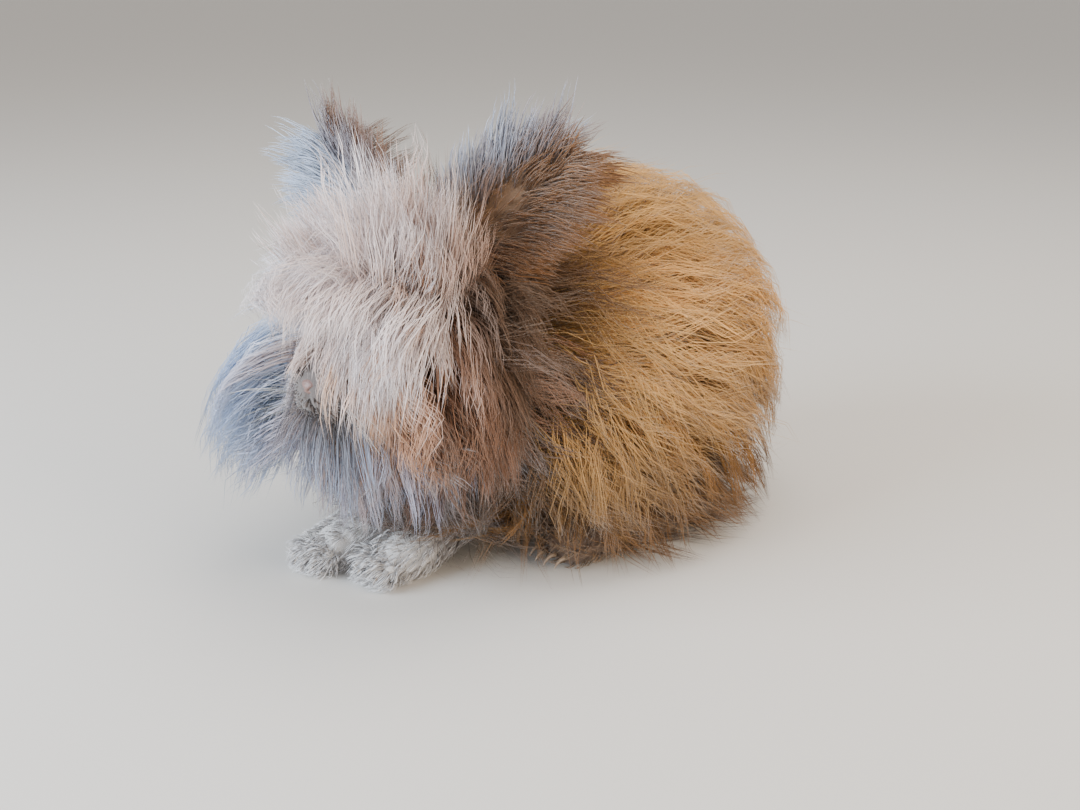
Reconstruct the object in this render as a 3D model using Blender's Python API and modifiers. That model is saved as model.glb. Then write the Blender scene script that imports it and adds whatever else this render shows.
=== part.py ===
"""A long-coated angora rabbit, life size, crouched with its head turned a little to its left.

The rabbit faces -Y with its left side at +X, and stands on the floor at z = 0. Sizes are in metres.
The bare body comes from a few rounded forms. Each form is thickened by a core of dense underwool, and
flat tapered locks of the long coat grow from it along the lie of the hair, out to their tips.
"""

import math
import random

import bpy
import numpy as np
from mathutils import Vector
from mathutils.bvhtree import BVHTree

GAP = 0.0003
FLOOR_CLEARANCE = 0.0015
CORE_MARGIN = 0.0005
MOVE_LIMIT = 0.026
SEED = 7
TRUNK_RINGS, TRUNK_SEGMENTS = 13, 20
HEAD_RINGS, HEAD_SEGMENTS = 13, 20

# The trunk: a compact oval body, highest over the loins.
# Rows along the spine are y, height of the centre, half width, half height above and below.
TRUNK_ROWS = (
    (-0.086, 0.084, 0.000, 0.000, 0.000),
    (-0.080, 0.085, 0.024, 0.028, 0.026),
    (-0.062, 0.087, 0.040, 0.043, 0.040),
    (-0.030, 0.090, 0.048, 0.053, 0.047),
    (0.010, 0.092, 0.053, 0.062, 0.050),
    (0.050, 0.090, 0.056, 0.066, 0.050),
    (0.085, 0.084, 0.052, 0.060, 0.046),
    (0.110, 0.077, 0.036, 0.042, 0.034),
    (0.122, 0.072, 0.016, 0.020, 0.016),
    (0.126, 0.070, 0.000, 0.000, 0.000),
)

# The head, in its own frame: forward from the middle of the skull, half width, half height above and below.
HEAD_CENTRE = np.array((0.028, -0.108, 0.139))
HEAD_TURN = math.radians(14)
HEAD_DROP = math.radians(14)
HEAD_ROWS = (
    (-0.046, 0.002, 0.0000, 0.0000, 0.0000),
    (-0.042, 0.002, 0.0150, 0.0160, 0.0140),
    (-0.031, 0.001, 0.0250, 0.0260, 0.0240),
    (-0.012, 0.000, 0.0315, 0.0340, 0.0340),
    (0.008, 0.000, 0.0310, 0.0330, 0.0370),
    (0.026, -0.001, 0.0250, 0.0260, 0.0320),
    (0.042, -0.002, 0.0195, 0.0180, 0.0240),
    (0.053, -0.003, 0.0145, 0.0115, 0.0165),
    (0.059, -0.004, 0.0075, 0.0060, 0.0080),
    (0.061, -0.004, 0.0000, 0.0000, 0.0000),
)
EYE_FORWARD, EYE_SIDE, EYE_UP = 0.013, 0.0262, 0.009
EYE_RADIUS = 0.0088
LID_THICKNESS = 0.0016
NOSE_FORWARD, NOSE_UP = 0.0585, 0.0015

# Each ear grows from the top of the skull and leans out and back.
EAR_ROOT = np.array((-0.018, 0.018, 0.026))
EAR_TIP = {1: np.array((-0.070, 0.073, 0.079)), -1: np.array((-0.058, 0.076, 0.074))}
EAR_HALF_WIDTH = 0.023
EAR_THICKNESS = 0.0042
EAR_CUP_DEPTH = 0.008

# The neck joins the skull to the shoulders. Two planes part it from them.
NECK_BACK = np.array((0.010, -0.045, 0.104))
NECK_FRONT = np.array((0.024, -0.095, 0.136))
NECK_RADIUS = 0.034
HEAD_CUT_POINT = np.array((0.019, -0.076, 0.129))
HEAD_CUT_NORMAL = np.array((0.25, -0.90, 0.35))
TRUNK_CUT_POINT = np.array((0.011, -0.050, 0.116))
TRUNK_CUT_NORMAL = np.array((0.20, -0.80, 0.57))

# Legs: points down each limb with the radius there. Side is +1 on the rabbit's left.
FOREPAW = {1: np.array((0.023, -0.096, 0.010)), -1: np.array((-0.012, -0.114, 0.010))}
FORELEG_TOP = {1: np.array((0.032, -0.040, 0.048)), -1: np.array((-0.030, -0.048, 0.050))}
FORELEG_RADIUS = 0.0125
PAW_HALF_WIDTH = 0.0150
TOE_WIDTH = 0.0065
HIND_SOLE_X = 0.066
HIND_TOE_Y = -0.018
HIND_HEEL_Y = 0.084
HIND_FOOT_HALF_WIDTH = 0.0165
FOOT_FLATNESS = 0.86
SOLE_DEPTH = 0.0012

TAIL_ROOT = np.array((0.0, 0.132, 0.080))
TAIL_TIP = np.array((0.002, 0.157, 0.108))
TAIL_ROOM = 0.018

# Where the tips of the long coat end: an oval round the trunk that falls almost straight to the floor
# below its middle, and an oval round the head in the head's own frame.
COAT_MIDDLE = np.array((0.0, 0.030, 0.102))
COAT_REACH = np.array((0.118, 0.148, 0.116))
HEM_DRAW_IN = 0.06
HEM_STATIONS, HEM_HEIGHTS = (0.30, 0.50), (0.030, 0.004)
RUFF_MIDDLE = np.array((0.0, -0.016, -0.028))
RUFF_REACH = np.array((0.084, 0.116, 0.094))

# Depth of the underwool core over the bare body, well under half way to the tips of the coat.
TRUNK_CORE = 0.025
HEAD_CORE = 0.018
NECK_CORE = 0.014
THIGH_CORE = 0.006

DOWN = np.array((0.0, 0.0, -1.0))
BACKWARD = np.array((0.0, 1.0, 0.0))

draw = random.Random(SEED)


def unit(vector):
    """The vector or the rows of vectors at length one."""
    vector = np.asarray(vector, float)
    return vector / np.maximum(np.linalg.norm(vector, axis=-1, keepdims=True), 1e-12)


# The frame of the head: forward along the face, to its left, and up through the crown.
FACE = np.array((
    math.sin(HEAD_TURN) * math.cos(HEAD_DROP),
    -math.cos(HEAD_TURN) * math.cos(HEAD_DROP),
    -math.sin(HEAD_DROP),
))
FACE_LEFT = np.array((math.cos(HEAD_TURN), math.sin(HEAD_TURN), 0.0))
CROWN = np.cross(FACE, FACE_LEFT)


def in_head(forward, left, up):
    """A point given in the head's own frame."""
    return HEAD_CENTRE + FACE * forward + FACE_LEFT * left + CROWN * up


def through(values, s):
    """A smooth curve through evenly spaced values, read at s from 0 to 1 (Catmull-Rom)."""
    values = np.asarray(values, float)
    last = len(values) - 1
    place = np.clip(np.asarray(s, float), 0, 1) * last
    i = np.minimum(place.astype(int), last - 1)
    t = place - i
    if values.ndim > 1:
        t = t[..., None]
    before, here = values[np.maximum(i - 1, 0)], values[i]
    there, after = values[i + 1], values[np.minimum(i + 2, last)]
    return 0.5 * (
        2 * here
        + (there - before) * t
        + (2 * before - 5 * here + 4 * there - after) * t**2
        + (3 * here - before - 3 * there + after) * t**3
    )


class Form:
    """Oval sections strung along a spine, closed to a point at each end."""

    def __init__(self, spine, half_widths, rises, falls, up_hint):
        self.spine = np.asarray(spine, float)
        self.sizes = np.column_stack((half_widths, rises, falls))
        self.up_hint = unit(up_hint)

    def point(self, s, turn):
        """The surface where the section at s is met at that turn, from the left over the top."""
        s, turn = np.broadcast_arrays(np.asarray(s, float), np.asarray(turn, float))
        centre = through(self.spine, s)
        along = unit(through(self.spine, s + 0.02) - through(self.spine, s - 0.02))
        side = unit(np.cross(along, self.up_hint))
        up = np.cross(side, along)
        half, rise, fall = np.moveaxis(np.maximum(through(self.sizes, s), 0), -1, 0)
        height = (rise + fall) / 2 + (rise - fall) / 2 * np.sin(turn)
        return (
            centre
            + side * (half * np.cos(turn))[..., None]
            + up * (height * np.sin(turn))[..., None]
        )

    def normal(self, s, turn):
        """The outward direction there, from two short steps along the surface."""
        s, turn = np.broadcast_arrays(np.asarray(s, float), np.asarray(turn, float))
        s = np.clip(s, 0.012, 0.988)
        step = 0.004
        lengthwise = self.point(s + step, turn) - self.point(s - step, turn)
        around = self.point(s, turn + step) - self.point(s, turn - step)
        found = unit(np.cross(lengthwise, around))
        outward = self.point(s, turn) - through(self.spine, s)
        flip = np.where((found * outward).sum(-1, keepdims=True) < 0, -1.0, 1.0)
        return found * flip

    def grown(self, s, turn, depth):
        """The surface moved outward by a depth, which may be a function of s and turn."""
        reach = depth(s, turn) if callable(depth) else depth
        return self.point(s, turn) + self.normal(s, turn) * np.reshape(reach, np.shape(reach) + (1,))

    def mesh(self, name, depth, rings, segments):
        """The grown surface as one closed mesh object."""
        s = np.linspace(0, 1, rings + 1)[1:-1]
        turn = np.linspace(0, 2 * math.pi, segments, endpoint=False)
        grid = self.grown(*np.meshgrid(s, turn, indexing="ij"), depth).reshape(-1, 3)
        poles = self.grown(np.array([0.0, 1.0]), np.array([0.0, 0.0]), 0.0)
        reach = [np.mean(depth(e, turn)) if callable(depth) else depth for e in (0.0, 1.0)]
        ends = unit(through(self.spine, np.array([0.0, 1.0])) - through(self.spine, np.array([0.06, 0.94])))
        poles = poles + ends * np.reshape(reach, (2, 1))
        return mesh_object(name, np.vstack((grid, poles)), ring_faces(rings - 1, segments))


def ring_faces(rings, segments):
    """Triangles of a closed loft, split the same way each time, with fans to the two last points."""
    first, last = rings * segments, rings * segments + 1
    faces = []
    for k in range(segments):
        after = (k + 1) % segments
        for r in range(rings - 1):
            here, there = r * segments, (r + 1) * segments
            faces.append((here + k, here + after, there + after))
            faces.append((here + k, there + after, there + k))
        faces.append((first, after, k))
        faces.append((last, (rings - 1) * segments + k, (rings - 1) * segments + after))
    return faces


def mesh_object(name, points, faces):
    """A mesh object with its faces turned outward, linked to the rabbit's collection."""
    data = bpy.data.meshes.new(name)
    data.from_pydata([tuple(map(float, p)) for p in points], [], faces)
    data.update()
    if signed_volume(data) < 0:
        data.flip_normals()
    made = bpy.data.objects.new(name, data)
    RABBIT.objects.link(made)
    return made


def signed_volume(data):
    """Volume inside a closed mesh, negative where its faces point inward."""
    data.calc_loop_triangles()
    order = [i for triangle in data.loop_triangles for i in triangle.vertices]
    corners = np.array([data.vertices[i].co for i in order]).reshape(-1, 3, 3)
    return float((corners[:, 0] * np.cross(corners[:, 1], corners[:, 2])).sum() / 6)


def apply_modifiers(target):
    """Keeps the object's mesh as its modifiers leave it."""
    graph = bpy.context.evaluated_depsgraph_get()
    made = bpy.data.meshes.new_from_object(target.evaluated_get(graph))
    target.modifiers.clear()
    target.data = made


def remove(piece):
    """Takes an object out of the file."""
    bpy.data.objects.remove(piece)


def boolean(target, operation, tool):
    """Cuts or joins target with a tool object and removes the tool."""
    step = target.modifiers.new("step", "BOOLEAN")
    step.operation = operation
    step.solver = "MANIFOLD"
    step.object = tool
    apply_modifiers(target)
    remove(tool)


def fuse(target, pieces):
    """Joins a node's pieces to its core in one union, and keeps the largest closed surface."""
    pieces = [p for p in pieces if p is not None]
    if pieces:
        gathered = bpy.data.collections.new(target.name + "_pieces")
        bpy.context.scene.collection.children.link(gathered)
        for piece in pieces:
            RABBIT.objects.unlink(piece)
            gathered.objects.link(piece)
        step = target.modifiers.new("fuse", "BOOLEAN")
        step.operation = "UNION"
        step.solver = "MANIFOLD"
        step.operand_type = "COLLECTION"
        step.collection = gathered
        apply_modifiers(target)
        for piece in list(gathered.objects):
            remove(piece)
        bpy.data.collections.remove(gathered)
    keep_largest(target)


def keep_largest(target):
    """Keeps only the closed surface that holds most volume."""
    data = target.data
    count = len(data.vertices)
    label = np.arange(count)
    edges = np.array([e.vertices for e in data.edges]).reshape(-1, 2)
    while True:
        low = np.minimum(label[edges[:, 0]], label[edges[:, 1]])
        before = label.copy()
        np.minimum.at(label, edges[:, 0], low)
        np.minimum.at(label, edges[:, 1], low)
        label = label[label]
        if (label == before).all():
            break
    points = np.array([v.co for v in data.vertices])
    data.calc_loop_triangles()
    triangles = np.array([t.vertices for t in data.loop_triangles])
    corners = points[triangles]
    share = (corners[:, 0] * np.cross(corners[:, 1], corners[:, 2])).sum(1) / 6
    held = np.bincount(label[triangles[:, 0]], weights=share, minlength=count)
    kept = triangles[label[triangles[:, 0]] == held.argmax()]
    used, index = np.unique(kept, return_inverse=True)
    fresh = bpy.data.meshes.new(target.name)
    fresh.from_pydata(points[used].tolist(), [], index.reshape(-1, 3).tolist())
    fresh.update()
    target.data = fresh


def half_space(point, normal):
    """A slab cutter that takes away everything on the normal's side of a plane."""
    size = 0.6
    bpy.ops.mesh.primitive_cube_add(size=size)
    slab = bpy.context.object
    turn = Vector(unit(normal)).to_track_quat("Z", "Y")
    slab.rotation_mode = "QUATERNION"
    slab.rotation_quaternion = turn
    slab.location = Vector(point) + turn @ Vector((0, 0, size / 2))
    bpy.context.view_layer.update()
    return slab


def ball(name, centre, radii, axes=None, segments=20, rings=12):
    """An ellipsoid on the given axes, as a closed mesh."""
    bpy.ops.mesh.primitive_uv_sphere_add(segments=segments, ring_count=rings, radius=1)
    made = bpy.context.object
    made.name = name
    axes = np.eye(3) if axes is None else np.asarray(axes)
    points = np.array([v.co for v in made.data.vertices]) * np.asarray(radii)
    moved = points @ axes + np.asarray(centre)
    made.data.vertices.foreach_set("co", moved.astype(np.float32).ravel())
    if signed_volume(made.data) < 0:
        made.data.flip_normals()
    made.data.update()
    for group in list(made.users_collection):
        group.objects.unlink(made)
    RABBIT.objects.link(made)
    return made


# Room rules: each gives, for an array of points, how far inside the allowed room a point is
# and the way further in.
def beyond_plane(point, normal):
    """Room on the normal's side of a plane."""
    normal = unit(normal)
    return lambda p: ((p - point) @ normal, np.broadcast_to(normal, p.shape))


def axis_distance(p, a, b):
    """Distance of points from the segment a to b, and the way out from it."""
    run = b - a
    t = np.clip((p - a) @ run / (run @ run), 0, 1)
    away = p - (a + t[:, None] * run)
    distance = np.linalg.norm(away, axis=1)
    return distance, away / np.maximum(distance, 1e-9)[:, None]


def outside_rod(a, b, radius):
    """Room outside a round-ended rod."""
    def rule(p):
        distance, away = axis_distance(p, a, b)
        return distance - radius, away
    return rule


def inside_rods(rods):
    """Room inside any of several round-ended rods, pulled toward the nearest one's axis."""
    def rule(p):
        found = [axis_distance(p, a, b) + (radius,) for a, b, radius in rods]
        room = np.array([radius - distance for distance, away, radius in found])
        best = room.argmax(0)
        ways = np.array([-away for distance, away, radius in found])
        pick = np.arange(len(p))
        return room[best, pick], ways[best, pick]
    return rule


def cone_room(apex, axis, half_angle, inside):
    """Room inside or outside a cone that opens along its axis."""
    axis = unit(axis)
    cos, sin = math.cos(half_angle), math.sin(half_angle)
    def rule(p):
        along = (p - apex) @ axis
        across = (p - apex) - along[:, None] * axis
        radius = np.linalg.norm(across, axis=1)
        outward = across / np.maximum(radius, 1e-9)[:, None]
        clear = radius * cos - along * sin
        way = outward * cos - axis * sin
        if inside:
            return -clear, -way
        return clear, way
    return rule


def outside_solid(target):
    """Room outside a finished solid, measured to its nearest face."""
    tree = BVHTree.FromObject(target, bpy.context.evaluated_depsgraph_get())
    corners = np.array([v.co for v in target.data.vertices])
    low, high = corners.min(0) - 0.005, corners.max(0) + 0.005
    ray = Vector((0.36, 0.48, 0.80))

    def is_inside(point):
        crossings = 0
        while crossings < 50:
            hit = tree.ray_cast(point, ray)[0]
            if hit is None:
                break
            crossings += 1
            point = hit + ray * 1e-6
        return crossings % 2 == 1

    def rule(p):
        if (p.min(0) > high).any() or (p.max(0) < low).any():
            return np.full(len(p), 1.0), np.zeros_like(p)
        room, ways = [], []
        for point in p:
            point = Vector(point)
            near, normal, index, far = tree.find_nearest(point)
            buried = far < 0.06 and is_inside(point)
            room.append((-far if buried else far) - CORE_MARGIN)
            ways.append(np.array(normal))
        return np.array(room), np.array(ways)

    rule.tree = tree
    return rule


def inside_solid(target):
    """Room inside a finished solid."""
    outside = outside_solid(target)

    def rule(p):
        room, way = outside(p)
        return -room - CORE_MARGIN, -way
    return rule


ABOVE_FLOOR = beyond_plane(np.array((0, 0, FLOOR_CLEARANCE)), (0, 0, 1))


def half_way(middle, ring, i):
    """Points on the lock's sides half way from section i to the next and the one before."""
    here = middle[i] + ring[i]
    points = [(here + np.roll(here, 1, axis=0)) / 2]
    for j in (i - 1, i + 1):
        if i > 0 and j < len(middle):
            edges = (here + middle[j] + ring[j]) / 2
            points += [edges, (edges + np.roll(edges, 1, axis=0)) / 2]
    return points


def lock(path, out, width, thick, rules, sides=4):
    """One flat, tapered lock: sections along a bent path, each moved until it is clear of every rule.

    The path gives the middle of each section. The first lies inside the core, the last is the tip.
    """
    middle = np.array(path, float)
    count = len(middle)
    t = np.linspace(0, 1, count)
    run = unit(np.gradient(middle, axis=0))
    across = unit(np.cross(middle[-1] - middle[0], out))
    flat = unit(across - run * (run @ across)[:, None])
    face = np.cross(flat, run)
    wide = width / 2 * np.interp(t, (0, 0.3, 0.75, 1), (0.72, 1.0, 0.46, 0.0))
    deep = thick / 2 * np.interp(t, (0, 0.3, 0.75, 1), (0.9, 1.0, 0.55, 0.0))
    angle = np.arange(sides) * 2 * math.pi / sides
    ring = flat[:, None] * (wide[:, None] * np.cos(angle))[..., None]
    ring = ring + face[:, None] * (deep[:, None] * np.sin(angle))[..., None]
    for _ in range(4):
        for rule in rules:
            for i in range(count):
                room, way = rule(np.vstack((middle[i] + ring[i], *half_way(middle, ring, i))))
                worst = room.argmin()
                short = GAP - room[worst]
                if short <= 0:
                    continue
                if i == 0 or short > MOVE_LIMIT:
                    return None
                middle[i] += way[worst] * short
    for rule in rules:
        if any(rule(np.vstack((middle[i] + ring[i], *half_way(middle, ring, i))))[0].min() < GAP * 0.6
               for i in range(count)):
            return None
    points = (middle[:-1, None] + ring[:-1]).reshape(-1, 3)
    points = np.vstack((points, middle[:1], middle[-1:]))
    faces = ring_faces(count - 1, sides)
    own = BVHTree.FromPolygons(points.tolist(), faces)
    if any(own.overlap(rule.tree) for rule in rules if hasattr(rule, "tree")):
        return None
    return mesh_object("lock", points, faces)


def bent_path(root, inward, rise, tip, steps=5):
    """A path from inside the core, out through its surface and over to the tip."""
    t = np.linspace(0, 1, steps - 1)[:, None]
    arc = (1 - t) ** 2 * root + 2 * t * (1 - t) * rise + t**2 * tip
    return np.vstack((root + inward, arc[:1] * 0.35 + arc[1:2] * 0.65, arc[1:2] * 0.2 + arc[2:3] * 0.8,
                      arc[2:3] * 0.25 + arc[3:] * 0.75, arc[3:]))


def grow(form, spots, depth, style, rules, width, thick, sink):
    """A lock at each spot of a form's core, with its tip where the style for that place puts it."""
    made = []
    for s, turn in spots:
        s += draw.uniform(-0.010, 0.010)
        turn += draw.uniform(-0.05, 0.05)
        out = form.normal(s, turn)
        at = form.grown(np.array(s), np.array(turn), depth)
        rise, tip = style(s, turn, at, out)
        aside = unit(np.cross(tip - at, out)) * np.linalg.norm(tip - at)
        rise = rise + aside * draw.uniform(-0.10, 0.10)
        tip = at + (tip - at) * draw.uniform(0.90, 1.10) + aside * draw.uniform(-0.12, 0.12)
        size = draw.uniform(0.85, 1.15)
        path = bent_path(at, -out * sink, rise, tip)
        made.append(lock(path, out, width * size, thick * size, rules))
    return [m for m in made if m is not None]


def spots_on(form, rows, first_turn, last_turn, spacing, depth):
    """Evenly spaced places along rows at the given stations, each row set half a step from the last."""
    spots = []
    for index, s in enumerate(rows):
        turn = np.linspace(first_turn, last_turn, 60)
        ring = form.grown(np.full(60, s), turn, depth)
        girth = np.linalg.norm(np.diff(ring, axis=0), axis=1).sum()
        count = max(int(round(girth / spacing)), 2)
        for k in range(count):
            share = (k + (0.25 if index % 2 else 0.75)) / count
            spots.append((s, first_turn + share * (last_turn - first_turn)))
    return spots


def finish(node, colour, roughness):
    """Gives a node its own material."""
    material = bpy.data.materials.new(node.name)
    material.use_nodes = True
    shader = material.node_tree.nodes["Principled BSDF"]
    shader.inputs["Base Color"].default_value = (*colour, 1)
    shader.inputs["Roughness"].default_value = roughness
    node.data.materials.clear()
    node.data.materials.append(material)


# Linear colours of the coat on each part, taken from the photo.
GOLD, BROWN, CREAM = (0.56, 0.36, 0.17), (0.26, 0.17, 0.11), (0.62, 0.50, 0.42)
SMOKE, TAN, DARK_EYE = (0.30, 0.26, 0.24), (0.42, 0.27, 0.15), (0.02, 0.012, 0.01)
COLOURS = {
    "torso": GOLD, "neck": BROWN, "head": CREAM, "tail": BROWN, "ear_left": SMOKE, "ear_right": SMOKE,
    "eye_left": DARK_EYE, "eye_right": DARK_EYE, "foreleg_left": TAN, "foreleg_right": CREAM,
    "hindleg_left": TAN, "hindleg_right": TAN,
}


# Forms
def trunk_form():
    rows = np.array(TRUNK_ROWS)
    spine = np.column_stack((np.zeros(len(rows)), rows[:, 0], rows[:, 1]))
    return Form(spine, rows[:, 2], rows[:, 3], rows[:, 4], (0, 0, 1))


def head_form():
    rows = np.array(HEAD_ROWS)
    spine = [in_head(forward, 0, lift) for forward, lift in rows[:, :2]]
    return Form(spine, rows[:, 2], rows[:, 3], rows[:, 4], CROWN)


def tube_form(points, radii, up_hint, flatness=1.0):
    """A round limb through the points, drawn in to a point just past each end."""
    points = np.asarray(points, float)
    radii = np.asarray(radii, float)
    head = points[0] + unit(points[0] - points[1]) * radii[0] * 0.75
    tail = points[-1] + unit(points[-1] - points[-2]) * radii[-1] * 0.75
    spine = np.vstack((head, points, tail))
    size = np.concatenate(([0], radii, [0]))
    return Form(spine, size, size * flatness, size * flatness, up_hint)


def trunk_core(s, turn):
    """Underwool depth on the trunk, thin under the belly."""
    return TRUNK_CORE * (0.62 + 0.38 * np.clip(np.sin(turn) + 0.5, 0, 1)) + 0 * s


def head_core(s, turn):
    """Underwool depth on the head: none on the face, full at the back and cheeks."""
    return HEAD_CORE * np.clip((0.52 - s) / 0.26, 0, 1) ** 0.8 + 0 * turn


TRUNK, HEAD = trunk_form(), head_form()
NECK = tube_form((NECK_BACK, (NECK_BACK + NECK_FRONT) / 2, NECK_FRONT), (NECK_RADIUS,) * 3, (0, 0, 1))


def foreleg_form(side):
    top, paw = FORELEG_TOP[side], FOREPAW[side]
    wrist = paw + np.array((0, 0.026, 0.012))
    toe = paw + np.array((0, -0.010, -0.001))
    elbow = (top + wrist) / 2 + np.array((0, 0.006, 0))
    points = (top, elbow, wrist, paw, toe)
    radii = (FORELEG_RADIUS * 1.25, FORELEG_RADIUS, FORELEG_RADIUS, PAW_HALF_WIDTH, PAW_HALF_WIDTH * 0.85)
    return tube_form(points, radii, (0, -0.5, 0.8))


def thigh_form(side):
    rump, knee = np.array((0.043 * side, 0.100, 0.066)), np.array((0.056 * side, 0.010, 0.048))
    points = [rump + (knee - rump) * t for t in (0.0, 0.33, 0.67, 1.0)]
    return tube_form(points, (0.022, 0.030, 0.029, 0.020), (0, 0, 1))


def foot_form(side):
    x = HIND_SOLE_X * side
    ys = np.linspace(HIND_HEEL_Y, HIND_TOE_Y, 5)
    radii = np.array((0.72, 0.82, 0.9, 1.0, 0.86)) * HIND_FOOT_HALF_WIDTH
    heights = radii * FOOT_FLATNESS - SOLE_DEPTH
    return tube_form(np.column_stack((np.full(5, x), ys, heights)), radii, (0, 0, 1), FOOT_FLATNESS)


def tail_form():
    points = [TAIL_ROOT + (TAIL_TIP - TAIL_ROOT) * t for t in (0.0, 0.45, 1.0)]
    return tube_form(points, (0.009, 0.012, 0.009), (0, 0, 1))


# Rooms: the space round each limb, ear and tail that its own coat keeps to and the others keep out of.
def foreleg_rods(side):
    top, paw = FORELEG_TOP[side], FOREPAW[side]
    reach = PAW_HALF_WIDTH + 0.005
    return [(top + np.array((0, 0, 0.01)), paw + np.array((0, 0.024, 0.012)), FORELEG_RADIUS + 0.007),
            (paw + np.array((0, 0.024, 0.010)), paw + np.array((0, -0.014, 0)), reach)]


def hind_foot_rods(side):
    foot = HIND_SOLE_X * side
    heel = np.array((foot, HIND_HEEL_Y + 0.004, 0.014))
    toe = np.array((foot, HIND_TOE_Y - 0.004, 0.012))
    return [(heel, toe, 0.019)]


def skirt_planes(side):
    """The room below and outside the thigh where the leg's own coat hangs, as planes that face into it."""
    return [(np.array((0.092 * side, 0, 0.068)), unit((-0.83 * side, 0, -0.56))),
            (np.array((0, 0, 0.072)), DOWN),
            (np.array((0.050 * side, 0, 0)), np.array((side, 0, 0.0))),
            (np.array((0, -0.030, 0)), np.array((0, 1.0, 0))),
            (np.array((0, 0.132, 0)), np.array((0, -1.0, 0)))]


def outside_planes(planes):
    """Room outside the convex space that the planes face into."""
    def rule(p):
        rooms = np.array([-(p - point) @ normal - 0.001 for point, normal in planes])
        best = rooms.argmax(0)
        return rooms[best, np.arange(len(p))], -np.array([normal for point, normal in planes])[best]
    return rule


def inside_planes(planes):
    """Room inside the convex space that the planes face into."""
    def rule(p):
        rooms = np.array([(p - point) @ normal for point, normal in planes])
        worst = rooms.argmin(0)
        return rooms[worst, np.arange(len(p))], np.array([normal for point, normal in planes])[worst]
    return rule


def inside_either(first, second):
    """Room inside one or both of two spaces."""
    def rule(p):
        room_a, way_a = first(p)
        room_b, way_b = second(p)
        return np.maximum(room_a, room_b), np.where((room_a > room_b)[:, None], way_a, way_b)
    return rule


def ear_axis(side):
    root, tip = EAR_ROOT * (1, side, 1), EAR_TIP[side] * (1, side, 1)
    return in_head(*root), in_head(*tip)


def ear_room(side, inside):
    root, tip = ear_axis(side)
    run = unit(tip - root)
    return cone_room(root - run * 0.014, run, math.radians(29.5 if inside else 31), inside)


def tail_rod():
    return TAIL_ROOT, TAIL_TIP + unit(TAIL_TIP - TAIL_ROOT) * 0.020, TAIL_ROOM


def outside_limbs():
    rods = [rod for side in (1, -1) for rod in foreleg_rods(side) + hind_foot_rods(side)]
    rules = [outside_rod(a, b, r + 0.001) for a, b, r in rods]
    rules += [outside_planes(skirt_planes(side)) for side in (1, -1)]
    root, tip, radius = tail_rod()
    return rules + [outside_rod(root, tip, radius + 0.001)]


HEAD_SIDE = beyond_plane(HEAD_CUT_POINT, HEAD_CUT_NORMAL)
BEHIND_HEAD = beyond_plane(HEAD_CUT_POINT, -HEAD_CUT_NORMAL)
NECK_SIDE = beyond_plane(TRUNK_CUT_POINT, TRUNK_CUT_NORMAL)
BEHIND_NECK = beyond_plane(TRUNK_CUT_POINT, -TRUNK_CUT_NORMAL)
CLEAR_OF_EARS = [ear_room(1, False), ear_room(-1, False)]


def clear_of_eyes():
    return [outside_rod(eye_centre(side), eye_centre(side) + 0.010 * unit(eye_way(side)), EYE_RADIUS + 0.0015)
            for side in (1, -1)]


def eye_centre(side):
    return in_head(EYE_FORWARD, EYE_SIDE * side, EYE_UP)


def eye_way(side):
    """The way an eye looks: mostly to the side, a little forward and up."""
    return unit(FACE * 0.30 + FACE_LEFT * side * 0.93 + CROWN * 0.12)


# Styles: where a lock rises to and where its tip ends, for a place on the body.
def laid(out, lie):
    """The lie of the hair with its part into the body taken out."""
    flat = lie - out * (lie @ out)
    size = np.linalg.norm(flat)
    return flat / size if size > 1e-6 else lie


def to_coat_edge(point):
    """The point moved to the outer edge of the trunk's coat, level with itself below the middle."""
    q = point - COAT_MIDDLE
    if q[2] > 0:
        return COAT_MIDDLE + q / np.linalg.norm(q / COAT_REACH)
    level = 1 - HEM_DRAW_IN * (-q[2] / COAT_MIDDLE[2]) ** 3
    scale = level / max(np.linalg.norm(q[:2] / COAT_REACH[:2]), 0.2)
    return COAT_MIDDLE + np.array((q[0] * scale, q[1] * scale, q[2]))


def to_ruff_edge(point, share):
    """The point moved out toward the edge of the head's coat by a share of the way."""
    axes = np.array((FACE, FACE_LEFT, CROWN))
    middle = in_head(*RUFF_MIDDLE)
    q = axes @ (point - middle)
    edge = middle + (q / np.linalg.norm(q / RUFF_REACH)) @ axes
    return point + (edge - point) * share


def trunk_style(s, turn, at, out):
    high = float(np.clip(out[2], -1, 1))
    back = 0.95 if s > 0.25 else 0.45
    lie = laid(out, BACKWARD * back + DOWN * (0.75 - 0.35 * high))
    flow = 0.046 + 0.018 * np.clip(1 - 1.5 * high, 0, 1)
    tip = to_coat_edge(at + out * 0.010 + lie * flow)
    tip[2] = max(tip[2], float(np.interp(s, HEM_STATIONS, HEM_HEIGHTS)))
    return at + out * 0.026 + lie * 0.010, tip


def chest_style(s, turn, at, out):
    """Locks that hang from the chest between the forelegs, clear of the floor."""
    tip = at + out * 0.036 - BACKWARD * 0.010
    tip[2] = max(tip[2], HEM_HEIGHTS[0])
    return at + out * 0.016, tip


def neck_style(s, turn, at, out):
    lie = laid(out, BACKWARD * 0.6 + DOWN * 0.6)
    return at + out * 0.030, at + out * 0.040 + lie * 0.038


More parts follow.
